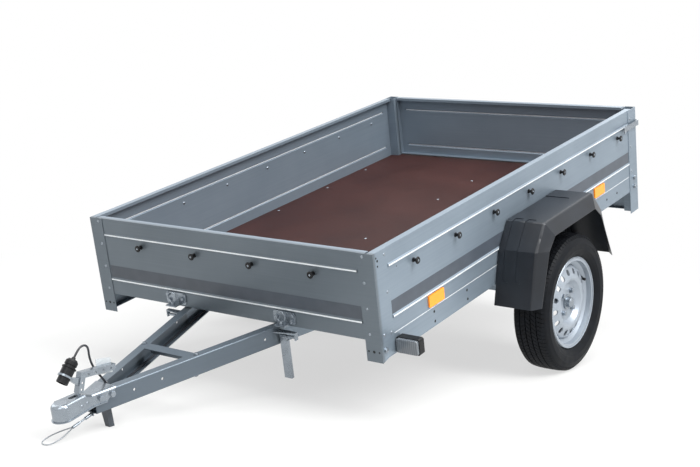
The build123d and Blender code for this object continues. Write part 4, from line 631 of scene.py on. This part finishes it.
def build_box_crest_highlights(bm):
    rear_x, front_x = SIDE_RIDGE
    middle_x, run = (rear_x + front_x) / 2, front_x - rear_x
    outer_y = SKIN_Y + RIDGE_CREST + CREST_LIFT
    inner_y = SKIN_Y - SHEET + RIDGE_CREST - CREST_LIFT
    inner_run = run - INNER_CREST_SHORTER
    for side in (1, -1):
        for z in RIDGE_Z:
            add_block(bm, (middle_x, side * outer_y, z), (run, CREST_FILM, CREST_HEIGHT))
            add_block(bm, (middle_x, side * inner_y, z), (inner_run, CREST_FILM, INNER_CREST_HEIGHT))
        add_block(bm, (middle_x, side * (SKIN_Y + CREST_LIFT), FOLD_Z), (run, CREST_FILM, FOLD_HEIGHT))
    outer_x = SKIN_X + RIDGE_CREST + CREST_LIFT
    inner_x = SKIN_X - SHEET + RIDGE_CREST - CREST_LIFT
    inner_run = 2 * END_RIDGE - INNER_CREST_SHORTER
    for z in RIDGE_Z:
        add_block(bm, (outer_x, 0, z), (CREST_FILM, 2 * END_RIDGE, CREST_HEIGHT))
        add_block(bm, (inner_x, 0, z), (CREST_FILM, inner_run, INNER_CREST_HEIGHT))


piece_from("box_crest_highlights", "load_box", CREST_HIGHLIGHT, build_box_crest_highlights, smooth=False)


def build_gate_crest_highlights(bm):
    outer_x = GATE_SKIN_X - RIDGE_CREST - CREST_LIFT
    inner_x = GATE_SKIN_X + SHEET - RIDGE_CREST + CREST_LIFT
    inner_run = 2 * GATE_RIDGE - INNER_CREST_SHORTER
    for z in RIDGE_Z:
        add_block(bm, (outer_x, 0, z), (CREST_FILM, 2 * GATE_RIDGE, CREST_HEIGHT))
        add_block(bm, (inner_x, 0, z), (CREST_FILM, inner_run, INNER_CREST_HEIGHT))


piece_from("gate_crest_highlights", "tailgate", CREST_HIGHLIGHT, build_gate_crest_highlights, smooth=False)


# Tyres

TREAD_PITCHES = 96
# Each row of tread: place across, width, lean over the shoulder, outer radius, slant of its cuts
TREAD_ROWS = (
    (0.0, 0.0180, 0.0, 0.2672, 35.0),
    (0.0225, 0.0200, 2.0, 0.2669, 35.0),
    (0.0455, 0.0190, 7.0, 0.2655, 20.0),
    (0.0585, 0.0130, 40.0, 0.2598, 0.0),
)
BLOCK_DEPTH = 0.008
# Share of a pitch that is rubber, the rest being the cut between blocks
BLOCK_SHARE = 0.9
BLOCK_TAPER = (0.985, 0.97, 1)
# Each row starts this share of a pitch after the one before
ROW_STAGGER = 0.21
TYRE_STEPS = 96
# The carcass from its bead to the middle of its crown: half width, radius
CARCASS = (
    (0.0375, 0.1665), (0.0502, 0.1667), (0.0506, 0.1790), (0.0568, 0.1830), (0.0600, 0.1862),
    (0.0607, 0.1888), (0.0640, 0.1925), (0.0690, 0.2040), (0.0700, 0.2075), (0.0708, 0.2082),
    (0.0711, 0.2110), (0.0716, 0.2180), (0.0715, 0.2290), (0.0722, 0.2298), (0.0718, 0.2330),
    (0.0702, 0.2348), (0.0688, 0.2430), (0.0650, 0.2500), (0.0600, 0.2552), (0.0550, 0.2585),
    (0.0480, 0.2605), (0.0300, 0.2618), (0.0, 0.2622),
)


def build_tyre(side):
    """Carcass spun about the axle, its crown covered by rows of tread blocks, most of them slanted."""
    centre = Vector((AXLE_X, side * WHEEL_CENTRE_Y, AXLE_Z))

    def build(bm):
        profile = [(y, r) for y, r in CARCASS] + [(-y, r) for y, r in reversed(CARCASS[:-1])]
        verts = [bm.verts.new(centre + Vector((0, y, r))) for y, r in profile]
        edges = [bm.edges.new(pair) for pair in zip(verts, verts[1:])]
        bmesh.ops.spin(
            bm, geom=verts + edges, cent=centre, axis=(0, 1, 0), dvec=(0, 0, 0),
            angle=2 * pi, steps=TYRE_STEPS, use_merge=True, use_duplicate=False,
        )
        rows = [(1, *row) for row in TREAD_ROWS] + [(-1, *row) for row in TREAD_ROWS[1:]]
        for order, (hand, across, width, lean, radius, slant) in enumerate(rows):
            for pitch in range(TREAD_PITCHES):
                angle = 2 * pi * (pitch + ROW_STAGGER * order) / TREAD_PITCHES
                made = bmesh.ops.create_cube(bm, size=1.0)["verts"]
                length = 2 * pi * radius / TREAD_PITCHES * BLOCK_SHARE
                bmesh.ops.scale(bm, vec=(length, width, BLOCK_DEPTH), verts=made)
                top = [vert for vert in made if vert.co.z > 0]
                bmesh.ops.scale(bm, vec=BLOCK_TAPER, verts=top)
                for vert in made:
                    vert.co.x += vert.co.y * tan(radians(hand * slant))
                bmesh.ops.translate(bm, verts=made, vec=(0, 0, -BLOCK_DEPTH / 2))
                place = (
                    Matrix.Translation(centre)
                    @ Matrix.Rotation(angle, 4, "Y")
                    @ Matrix.Translation((0, hand * across, radius))
                    @ Matrix.Rotation(radians(-hand * lean), 4, "X")
                )
                bmesh.ops.transform(bm, verts=made, matrix=place)
    return build


for side, hand in ((1, "left"), (-1, "right")):
    tyre = piece_from(
        f"treaded_tyre_{hand}", f"wheel_{hand}", FINISHES["tyre_rubber"],
        build_tyre(side),
    )
    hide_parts(f"tyre_{hand}")


# Cords, by the points of the routes that part.py gives them

PLUG_CABLE = (
    (2.626, -0.004, 0.022), (2.626, -0.006, 0.046), (2.631, -0.010, 0.070), (2.645, -0.019, 0.101),
    (2.660, -0.025, 0.136), (2.668, -0.023, 0.172), (2.672, -0.015, 0.203), (2.685, -0.008, 0.220),
    (2.705, -0.003, 0.227), (2.725, 0.0, 0.222), (2.74406, 0.0, 0.20399),
)
SAFETY_ROPE = (
    (2.79830, 0.0024, -0.00890), (2.822, 0.009, -0.009), (2.846, 0.018, -0.010),
    (2.873, 0.023, -0.0105), (2.900, 0.022, -0.011), (2.912, 0.013, -0.011),
    (2.916, -0.001, -0.011), (2.911, -0.014, -0.011), (2.899, -0.022, -0.010),
    (2.872, -0.022, -0.008), (2.846, -0.016, -0.007), (2.822, -0.008, -0.007),
    (2.79830, -0.0024, -0.00890),
)


def cord_curve(name, route, diameter, material):
    """A smooth round cord whose control points are the route's points."""
    curve = bpy.data.curves.new(name, "CURVE")
    curve.dimensions = "3D"
    curve.bevel_depth = diameter / 2
    curve.bevel_resolution = 5
    curve.resolution_u = 12
    curve.use_fill_caps = True
    spline = curve.splines.new("NURBS")
    spline.points.add(len(route) - 1)
    for point, place in zip(spline.points, route):
        point.co = (*(STANCE @ Vector(place)), 1.0)
    spline.order_u = 3
    spline.use_endpoint_u = True
    curve.materials.append(material)
    made = bpy.data.objects.new(name, curve)
    bpy.context.scene.collection.objects.link(made)
    return made


plug_cable = cord_curve("plug_lead", PLUG_CABLE, 0.007, FINISHES["cable_rubber"])
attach(plug_cable, "drawbar")
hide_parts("plug_cable")

safety_rope = cord_curve("breakaway_rope", SAFETY_ROPE, 0.004, FINISHES["rope_steel"])
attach(safety_rope, "drawbar")
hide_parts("safety_rope")


# Bolts and small fittings

# An arm's outer web runs straight from the pivot in to its front end: x, distance from the middle
ARM_REAR_X, ARM_REAR_Y = 1.200, 0.478
ARM_FRONT_X, ARM_FRONT_Y = 2.715, 0.0255
ARM_SLOPE = (ARM_REAR_Y - ARM_FRONT_Y) / (ARM_FRONT_X - ARM_REAR_X)
ARM_NORMAL = Vector((ARM_SLOPE, 1, 0)).normalized()


def arm_y(x):
    """Distance of an arm's outer web from the middle at x."""
    return ARM_FRONT_Y + (ARM_FRONT_X - x) * ARM_SLOPE


SIDE_KNOB_ENDS = (0.194, 1.813)
SIDE_KNOB_GAPS = 6
SIDE_KNOB_PLACES = [
    SIDE_KNOB_ENDS[0] + place * (SIDE_KNOB_ENDS[1] - SIDE_KNOB_ENDS[0]) / SIDE_KNOB_GAPS
    for place in range(SIDE_KNOB_GAPS + 1)
]
END_KNOB_PLACES = (-0.400, -0.4 / 3, 0.4 / 3, 0.400)
KNOB_Z = 0.281
KNOB_HEIGHT = 0.021
# Bolts through the posts: x, z, width across flats, height, washer radius
POST_BOLTS = (
    (0.0375, 0.063, 0.017, 0.007, 0.012),
    (0.0375, 0.022, 0.017, 0.007, 0.012),
    (2.018, 0.039, 0.015, 0.006, 0.010),
)
# Rivets in the posts' sides: x, z
POST_RIVETS = (
    (1.977, 0.355), (1.978, 0.227), (1.978, 0.086), (2.018, 0.091),
    (0.062, 0.335), (0.062, 0.21), (0.062, 0.10),
)
FRONT_RIVET_Y = 0.607
FRONT_RIVETS_Z = (0.363, 0.274, 0.185, 0.096)
FLOOR_TOP = 0.085
EDGE_SCREW_Y = 0.615
EDGE_SCREWS_X = (0.321, 0.634, 1.000, 1.40, 1.80)
MIDDLE_SCREWS_X = (0.35, 0.644, 1.20, 1.60)
# Radius and height of each kind of head
RIVET = (0.0055, 0.0025)
KNOB_BACK = (0.0065, 0.004)
KNOB_SCREW = (0.0038, 0.0015)
FLOOR_SCREW = (0.006, 0.0015)
UP = (0, 0, 1)
FORWARD = (1, 0, 0)


def build_knob_screws(bm):
    for side in (1, -1):
        for x in SIDE_KNOB_PLACES:
            add_dome(bm, (x, side * (SKIN_Y + KNOB_HEIGHT), KNOB_Z), (0, side, 0), *KNOB_SCREW)
    for y in END_KNOB_PLACES:
        add_dome(bm, (SKIN_X + KNOB_HEIGHT, y, KNOB_Z), FORWARD, *KNOB_SCREW)


piece_from("knob_screws", "load_box", FINISHES["zinc_hardware"], build_knob_screws)


def build_box_bolts(bm):
    """Post bolts and rivets, the round heads behind the knobs, and the floor's screws."""
    for side in (1, -1):
        outward = (0, side, 0)
        for x, z, across, height, washer in POST_BOLTS:
            add_bolt(bm, (x, side * HALF_WIDTH, z), outward, across, height, washer)
        for x, z in POST_RIVETS:
            add_dome(bm, (x, side * HALF_WIDTH, z), outward, *RIVET)
        for z in FRONT_RIVETS_Z:
            add_dome(bm, (BOX_LENGTH, side * FRONT_RIVET_Y, z), FORWARD, *RIVET)
        for x in SIDE_KNOB_PLACES:
            add_dome(bm, (x, side * (SKIN_Y - SHEET), KNOB_Z), (0, -side, 0), *KNOB_BACK)
        for x in EDGE_SCREWS_X:
            add_dome(bm, (x, side * EDGE_SCREW_Y, FLOOR_TOP), UP, *FLOOR_SCREW)
    for y in END_KNOB_PLACES:
        add_dome(bm, (SKIN_X - SHEET, y, KNOB_Z), (-1, 0, 0), *KNOB_BACK)
    for x in MIDDLE_SCREWS_X:
        add_dome(bm, (x, 0.0, FLOOR_TOP), UP, *FLOOR_SCREW)


piece_from("box_bolts", "load_box", FINISHES["zinc_hardware"], build_box_bolts)

# Punched holes, drawn as dark discs of painted shade that stand 0.2 mm proud of the sheet
HOLE_SINK = 0.0003
HOLE_DISC = 0.0005
RAIL_HOLE_RADIUS = 0.0052
POST_FOOT_HOLE_Z = 0.036
# Rail holes: x, z
RAIL_HOLES = (
    (0.215, 0.041), (0.319, 0.042), (1.716, 0.059), (1.715, 0.023), (1.496, 0.057), (1.495, 0.023),
)
# The small hole in the side panel: x, z, radius
PANEL_HOLE = (1.912, 0.293, 0.002)
# Holes in the post's side: x, z, radius
POST_SIDE_HOLES = ((2.023, 0.357, 0.0035), (2.017, 0.346, 0.0045), (2.018, 0.328, 0.0035))
# Holes in the post's foot: distance from the middle, radius
POST_FOOT_HOLES = ((0.597, 0.0035), (0.618, 0.0052), (0.639, 0.0035))


def build_hole_shades(bm):
    for side in (1, -1):
        outward = (0, side, 0)
        skin_y, post_y = side * (SKIN_Y - HOLE_SINK), side * (HALF_WIDTH - HOLE_SINK)
        for x, z in RAIL_HOLES:
            add_disc(bm, (x, skin_y, z), outward, RAIL_HOLE_RADIUS, HOLE_DISC, 20)
        for x, z, radius in POST_SIDE_HOLES:
            add_disc(bm, (x, post_y, z), outward, radius, HOLE_DISC, 20)
        for y, radius in POST_FOOT_HOLES:
            foot = (BOX_LENGTH - HOLE_SINK, side * y, POST_FOOT_HOLE_Z)
            add_disc(bm, foot, FORWARD, radius, HOLE_DISC, 20)
        x, z, radius = PANEL_HOLE
        add_disc(bm, (x, skin_y, z), outward, radius, HOLE_DISC, 16)


piece_from("hole_shades", "load_box", HOLE_SHADE, build_hole_shades)


# The coupling's wall runs straight from its neck at the arms' ends out to the head. Over the
# arms it stands off by a 0.3 mm gap and its own 3 mm.
COUPLING_OVER_ARM = 0.0033
COUPLING_NECK_X = 2.723
COUPLING_NECK_Y = arm_y(COUPLING_NECK_X) + COUPLING_OVER_ARM * hypot(1, ARM_SLOPE)
COUPLING_HEAD_X, COUPLING_HEAD_Y = 2.826, 0.033
COUPLING_FLARE = (COUPLING_HEAD_Y - COUPLING_NECK_Y) / (COUPLING_HEAD_X - COUPLING_NECK_X)
COUPLING_BOLTS_X = (2.660, 2.698)
COUPLING_BOLT_Z = 0.053
COUPLING_BOLT_OUT = 0.0035
# Bolt heads are given as width across flats, height, washer radius
COUPLING_BOLT = (0.017, 0.008, 0.012)
COUPLING_RIVETS_X = (2.748, 2.772)
COUPLING_RIVET_Z = 0.056
COUPLING_RIVET = (0.006, 0.003)
COUPLING_RIVET_SINK = 0.0004
# Bolts on the arms' top flanges at the crossbar, and under their lower flanges
ARM_BOLT = (0.013, 0.006, 0.010)
TOP_BOLT_X, TOP_BOLT_Y, TOP_BOLT_Z = 2.347, 0.120, 0.069
LOWER_BOLT_X, LOWER_BOLT_IN, LOWER_BOLT_Z = 2.358, 0.017, 0.003


def build_drawbar_bolts(bm):
    for side in (1, -1):
        normal = Vector((ARM_NORMAL.x, side * ARM_NORMAL.y, 0))
        for x in COUPLING_BOLTS_X:
            seat = (x, side * (arm_y(x) + COUPLING_BOLT_OUT), COUPLING_BOLT_Z)
            add_bolt(bm, seat, normal, *COUPLING_BOLT)
        for x in COUPLING_RIVETS_X:
            # Sunk a little, so that the round rivet meets the slanting wall all round
            wall = COUPLING_NECK_Y + (x - COUPLING_NECK_X) * COUPLING_FLARE
            place = (x, side * (wall - COUPLING_RIVET_SINK), COUPLING_RIVET_Z)
            add_dome(bm, place, (0, side, 0), *COUPLING_RIVET)
        add_bolt(bm, (TOP_BOLT_X, side * TOP_BOLT_Y, TOP_BOLT_Z), UP, *ARM_BOLT)
        lower_y = arm_y(LOWER_BOLT_X) - LOWER_BOLT_IN
        add_bolt(bm, (LOWER_BOLT_X, side * lower_y, LOWER_BOLT_Z), (0, 0, -1), *ARM_BOLT)


piece_from(
    "drawbar_bolts", "drawbar", FINISHES["zinc_hardware"], build_drawbar_bolts
)

LOCK_PLATE = 0.004
LOCK_BOLTS = ((0.221, 0.104), (0.291, 0.116), (0.285, 0.094))
LOCK_BOLT = (0.013, 0.006, 0.009)


def build_lock_bolts(bm):
    for side in (1, -1):
        for y, z in LOCK_BOLTS:
            add_bolt(bm, (SKIN_X + LOCK_PLATE, side * y, z), FORWARD, *LOCK_BOLT)


piece_from("lock_bolts", "load_box", FINISHES["zinc_hardware"], build_lock_bolts)


WHEEL_BOLT_COUNT = 4
BOLT_CIRCLE_RADIUS = 0.049
BOLT_SEAT_OUT = 0.0275
WHEEL_BOLT_SEAT = (0.0105, 0.003)
WHEEL_BOLT = (0.017, 0.011)
VALVE_TURN = radians(20)
VALVE_RADIUS_PLACE = 0.1445
VALVE_OUT = 0.024
VALVE_LEAN = 0.25
# Parts of the valve, from its foot: start, radius, height, sides, rounding
VALVE_PARTS = (
    (0.0, 0.0085, 0.006, 20, 0.002),
    (0.005, 0.0048, 0.010, 16, 0.0),
    (0.013, 0.0055, 0.010, 16, 0.001),
)


def build_wheel_fittings(side):
    """Wheel bolts, each on its round seat."""
    centre = Vector((AXLE_X, side * WHEEL_CENTRE_Y, AXLE_Z))
    outward = Vector((0, side, 0))

    def build(bm):
        for turn in range(WHEEL_BOLT_COUNT):
            angle = radians(45 + 360 / WHEEL_BOLT_COUNT * turn)
            ring = Vector((BOLT_CIRCLE_RADIUS * cos(angle), 0, BOLT_CIRCLE_RADIUS * sin(angle)))
            seat = centre + ring + outward * BOLT_SEAT_OUT
            add_disc(bm, seat, outward, *WHEEL_BOLT_SEAT)
            add_bolt(bm, seat + outward * WHEEL_BOLT_SEAT[1], outward, *WHEEL_BOLT)
    return build


def build_valve(side):
    """A snap-in tyre valve: a rubber stem with its cap, out of the rim's well."""
    centre = Vector((AXLE_X, side * WHEEL_CENTRE_Y, AXLE_Z))
    outward = Vector((-cos(VALVE_TURN), 0, sin(VALVE_TURN)))

    def build(bm):
        foot = centre + outward * VALVE_RADIUS_PLACE + Vector((0, side * VALVE_OUT, 0))
        lean = (-outward * VALVE_LEAN + Vector((0, side, 0))).normalized()
        for start, radius, height, sides, rounding in VALVE_PARTS:
            add_disc(bm, foot + lean * start, lean, radius, height, sides, top_bevel=rounding)
    return build


for side, hand in ((1, "left"), (-1, "right")):
    piece_from(
        f"wheel_bolts_{hand}", f"wheel_{hand}", FINISHES["zinc_hardware"],
        build_wheel_fittings(side),
    )
    piece_from(
        f"tyre_valve_{hand}", f"wheel_{hand}", FINISHES["black_plastic"],
        build_valve(side),
    )


# Stage, light and camera

PALE = linear("#dcdcda")
FLOOR_GLOW = 0.62
SHADE_FULL_OUT = 1.2
SHADE_GONE_OUT = 3.0
FLOOR_REACH = 30
WORLD_STRENGTH = 0.34


def background_rays(tree):
    """One for rays that show the background: from the camera, or by way of metal and glass."""
    seen = add_node(tree, "ShaderNodeLightPath")
    straight = add_node(tree, "ShaderNodeMath", {"operation": "MAXIMUM"})
    tree.links.new(seen.outputs["Is Camera Ray"], straight.inputs[0])
    tree.links.new(seen.outputs["Is Glossy Ray"], straight.inputs[1])
    either = add_node(tree, "ShaderNodeMath", {"operation": "MAXIMUM"})
    tree.links.new(straight.outputs[0], either.inputs[0])
    tree.links.new(seen.outputs["Is Transmission Ray"], either.inputs[1])
    return either.outputs[0]


def pale_floor():
    """Plain pale floor that reads as white to the camera and keeps the object's shadow."""
    material, tree, shader = new_material("pale_floor")
    shader.inputs["Base Color"].default_value = PALE
    shader.inputs["Roughness"].default_value = 0.9
    rays = background_rays(tree)
    glow = add_node(tree, "ShaderNodeEmission", {"Color": (1, 1, 1, 1), "Strength": 1.0})
    place = add_node(tree, "ShaderNodeTexCoord")
    away = add_node(tree, "ShaderNodeVectorMath", {"operation": "LENGTH"})
    tree.links.new(place.outputs["Object"], away.inputs[0])
    # Within 1.2 m of the middle 38 % of the floor's shade shows, and from 3 m out none
    share = add_node(tree, "ShaderNodeMapRange", {
        "From Min": SHADE_FULL_OUT, "From Max": SHADE_GONE_OUT, "To Min": FLOOR_GLOW, "To Max": 1.0,
    }, Value=away.outputs["Value"])
    seen_share = add_node(tree, "ShaderNodeMath", {"operation": "MULTIPLY"})
    tree.links.new(share.outputs["Result"], seen_share.inputs[0])
    tree.links.new(rays, seen_share.inputs[1])
    both = add_node(tree, "ShaderNodeMixShader")
    tree.links.new(seen_share.outputs[0], both.inputs[0])
    tree.links.new(shader.outputs[0], both.inputs[1])
    tree.links.new(glow.outputs[0], both.inputs[2])
    tree.links.new(both.outputs[0], tree.nodes["Material Output"].inputs["Surface"])
    return material


floor_mesh = bpy.data.meshes.new("studio_floor")
bm = bmesh.new()
bmesh.ops.create_grid(bm, x_segments=1, y_segments=1, size=FLOOR_REACH)
bm.to_mesh(floor_mesh)
bm.free()
floor = bpy.data.objects.new("studio_floor", floor_mesh)
bpy.context.scene.collection.objects.link(floor)
floor_mesh.materials.append(pale_floor())


def soft_lamp(name, place, target, size, power):
    """A large square soft box aimed at a point."""
    light = bpy.data.lights.new(name, "AREA")
    light.shape = "SQUARE"
    light.size = size
    light.energy = power
    made = bpy.data.objects.new(name, light)
    made.location = place
    made.rotation_euler = (Vector(target) - Vector(place)).to_track_quat("-Z", "Y").to_euler()
    bpy.context.scene.collection.objects.link(made)


MIDDLE = (0.0, 0.0, 0.5)
soft_lamp("overhead_box", (0.2, 0.8, 5.0), MIDDLE, 4.5, 290)
soft_lamp("left_box", (0.0, 4.6, 4.8), MIDDLE, 3.5, 380)
soft_lamp("right_box", (0.5, -5.0, 3.2), MIDDLE, 3.5, 80)
soft_lamp("front_box", (5.0, 1.5, 4.4), MIDDLE, 3.0, 75)
soft_lamp("rear_box", (-5.5, 0.0, 3.0), MIDDLE, 3.0, 60)

world = bpy.data.worlds.new("studio")
bpy.context.scene.world = world
world.use_nodes = True
tree = world.node_tree
background = tree.nodes["Background"]
background.inputs["Color"].default_value = linear("#eef1f4")
background.inputs["Strength"].default_value = WORLD_STRENGTH
white = add_node(tree, "ShaderNodeBackground", {"Color": (1, 1, 1, 1), "Strength": 1.0})
both = add_node(tree, "ShaderNodeMixShader")
tree.links.new(background_rays(tree), both.inputs[0])
tree.links.new(background.outputs[0], both.inputs[1])
tree.links.new(white.outputs[0], both.inputs[2])
tree.links.new(both.outputs[0], tree.nodes["World Output"].inputs["Surface"])

# The photograph's camera, placed in the level trailer's coordinates
CAMERA_PLACE = (4.97835, 2.83696, 1.62865)
CAMERA_FORWARD = (-0.75411, -0.58135, -0.30553)
CAMERA_ROLL = radians(1.314)
CAMERA_LENS = 63.2
SENSOR_WIDTH = 36

camera_data = bpy.data.cameras.new("camera")
camera_data.lens = CAMERA_LENS
camera_data.sensor_width = SENSOR_WIDTH
camera = bpy.data.objects.new("camera", camera_data)
forward = STANCE.to_3x3() @ Vector(CAMERA_FORWARD)
camera.location = STANCE @ Vector(CAMERA_PLACE)
aim = forward.to_track_quat("-Z", "Y").to_matrix() @ Matrix.Rotation(CAMERA_ROLL, 3, "Z")
camera.rotation_euler = aim.to_euler()
bpy.context.scene.collection.objects.link(camera)
bpy.context.scene.camera = camera

bpy.context.scene.view_settings.view_transform = "Standard"
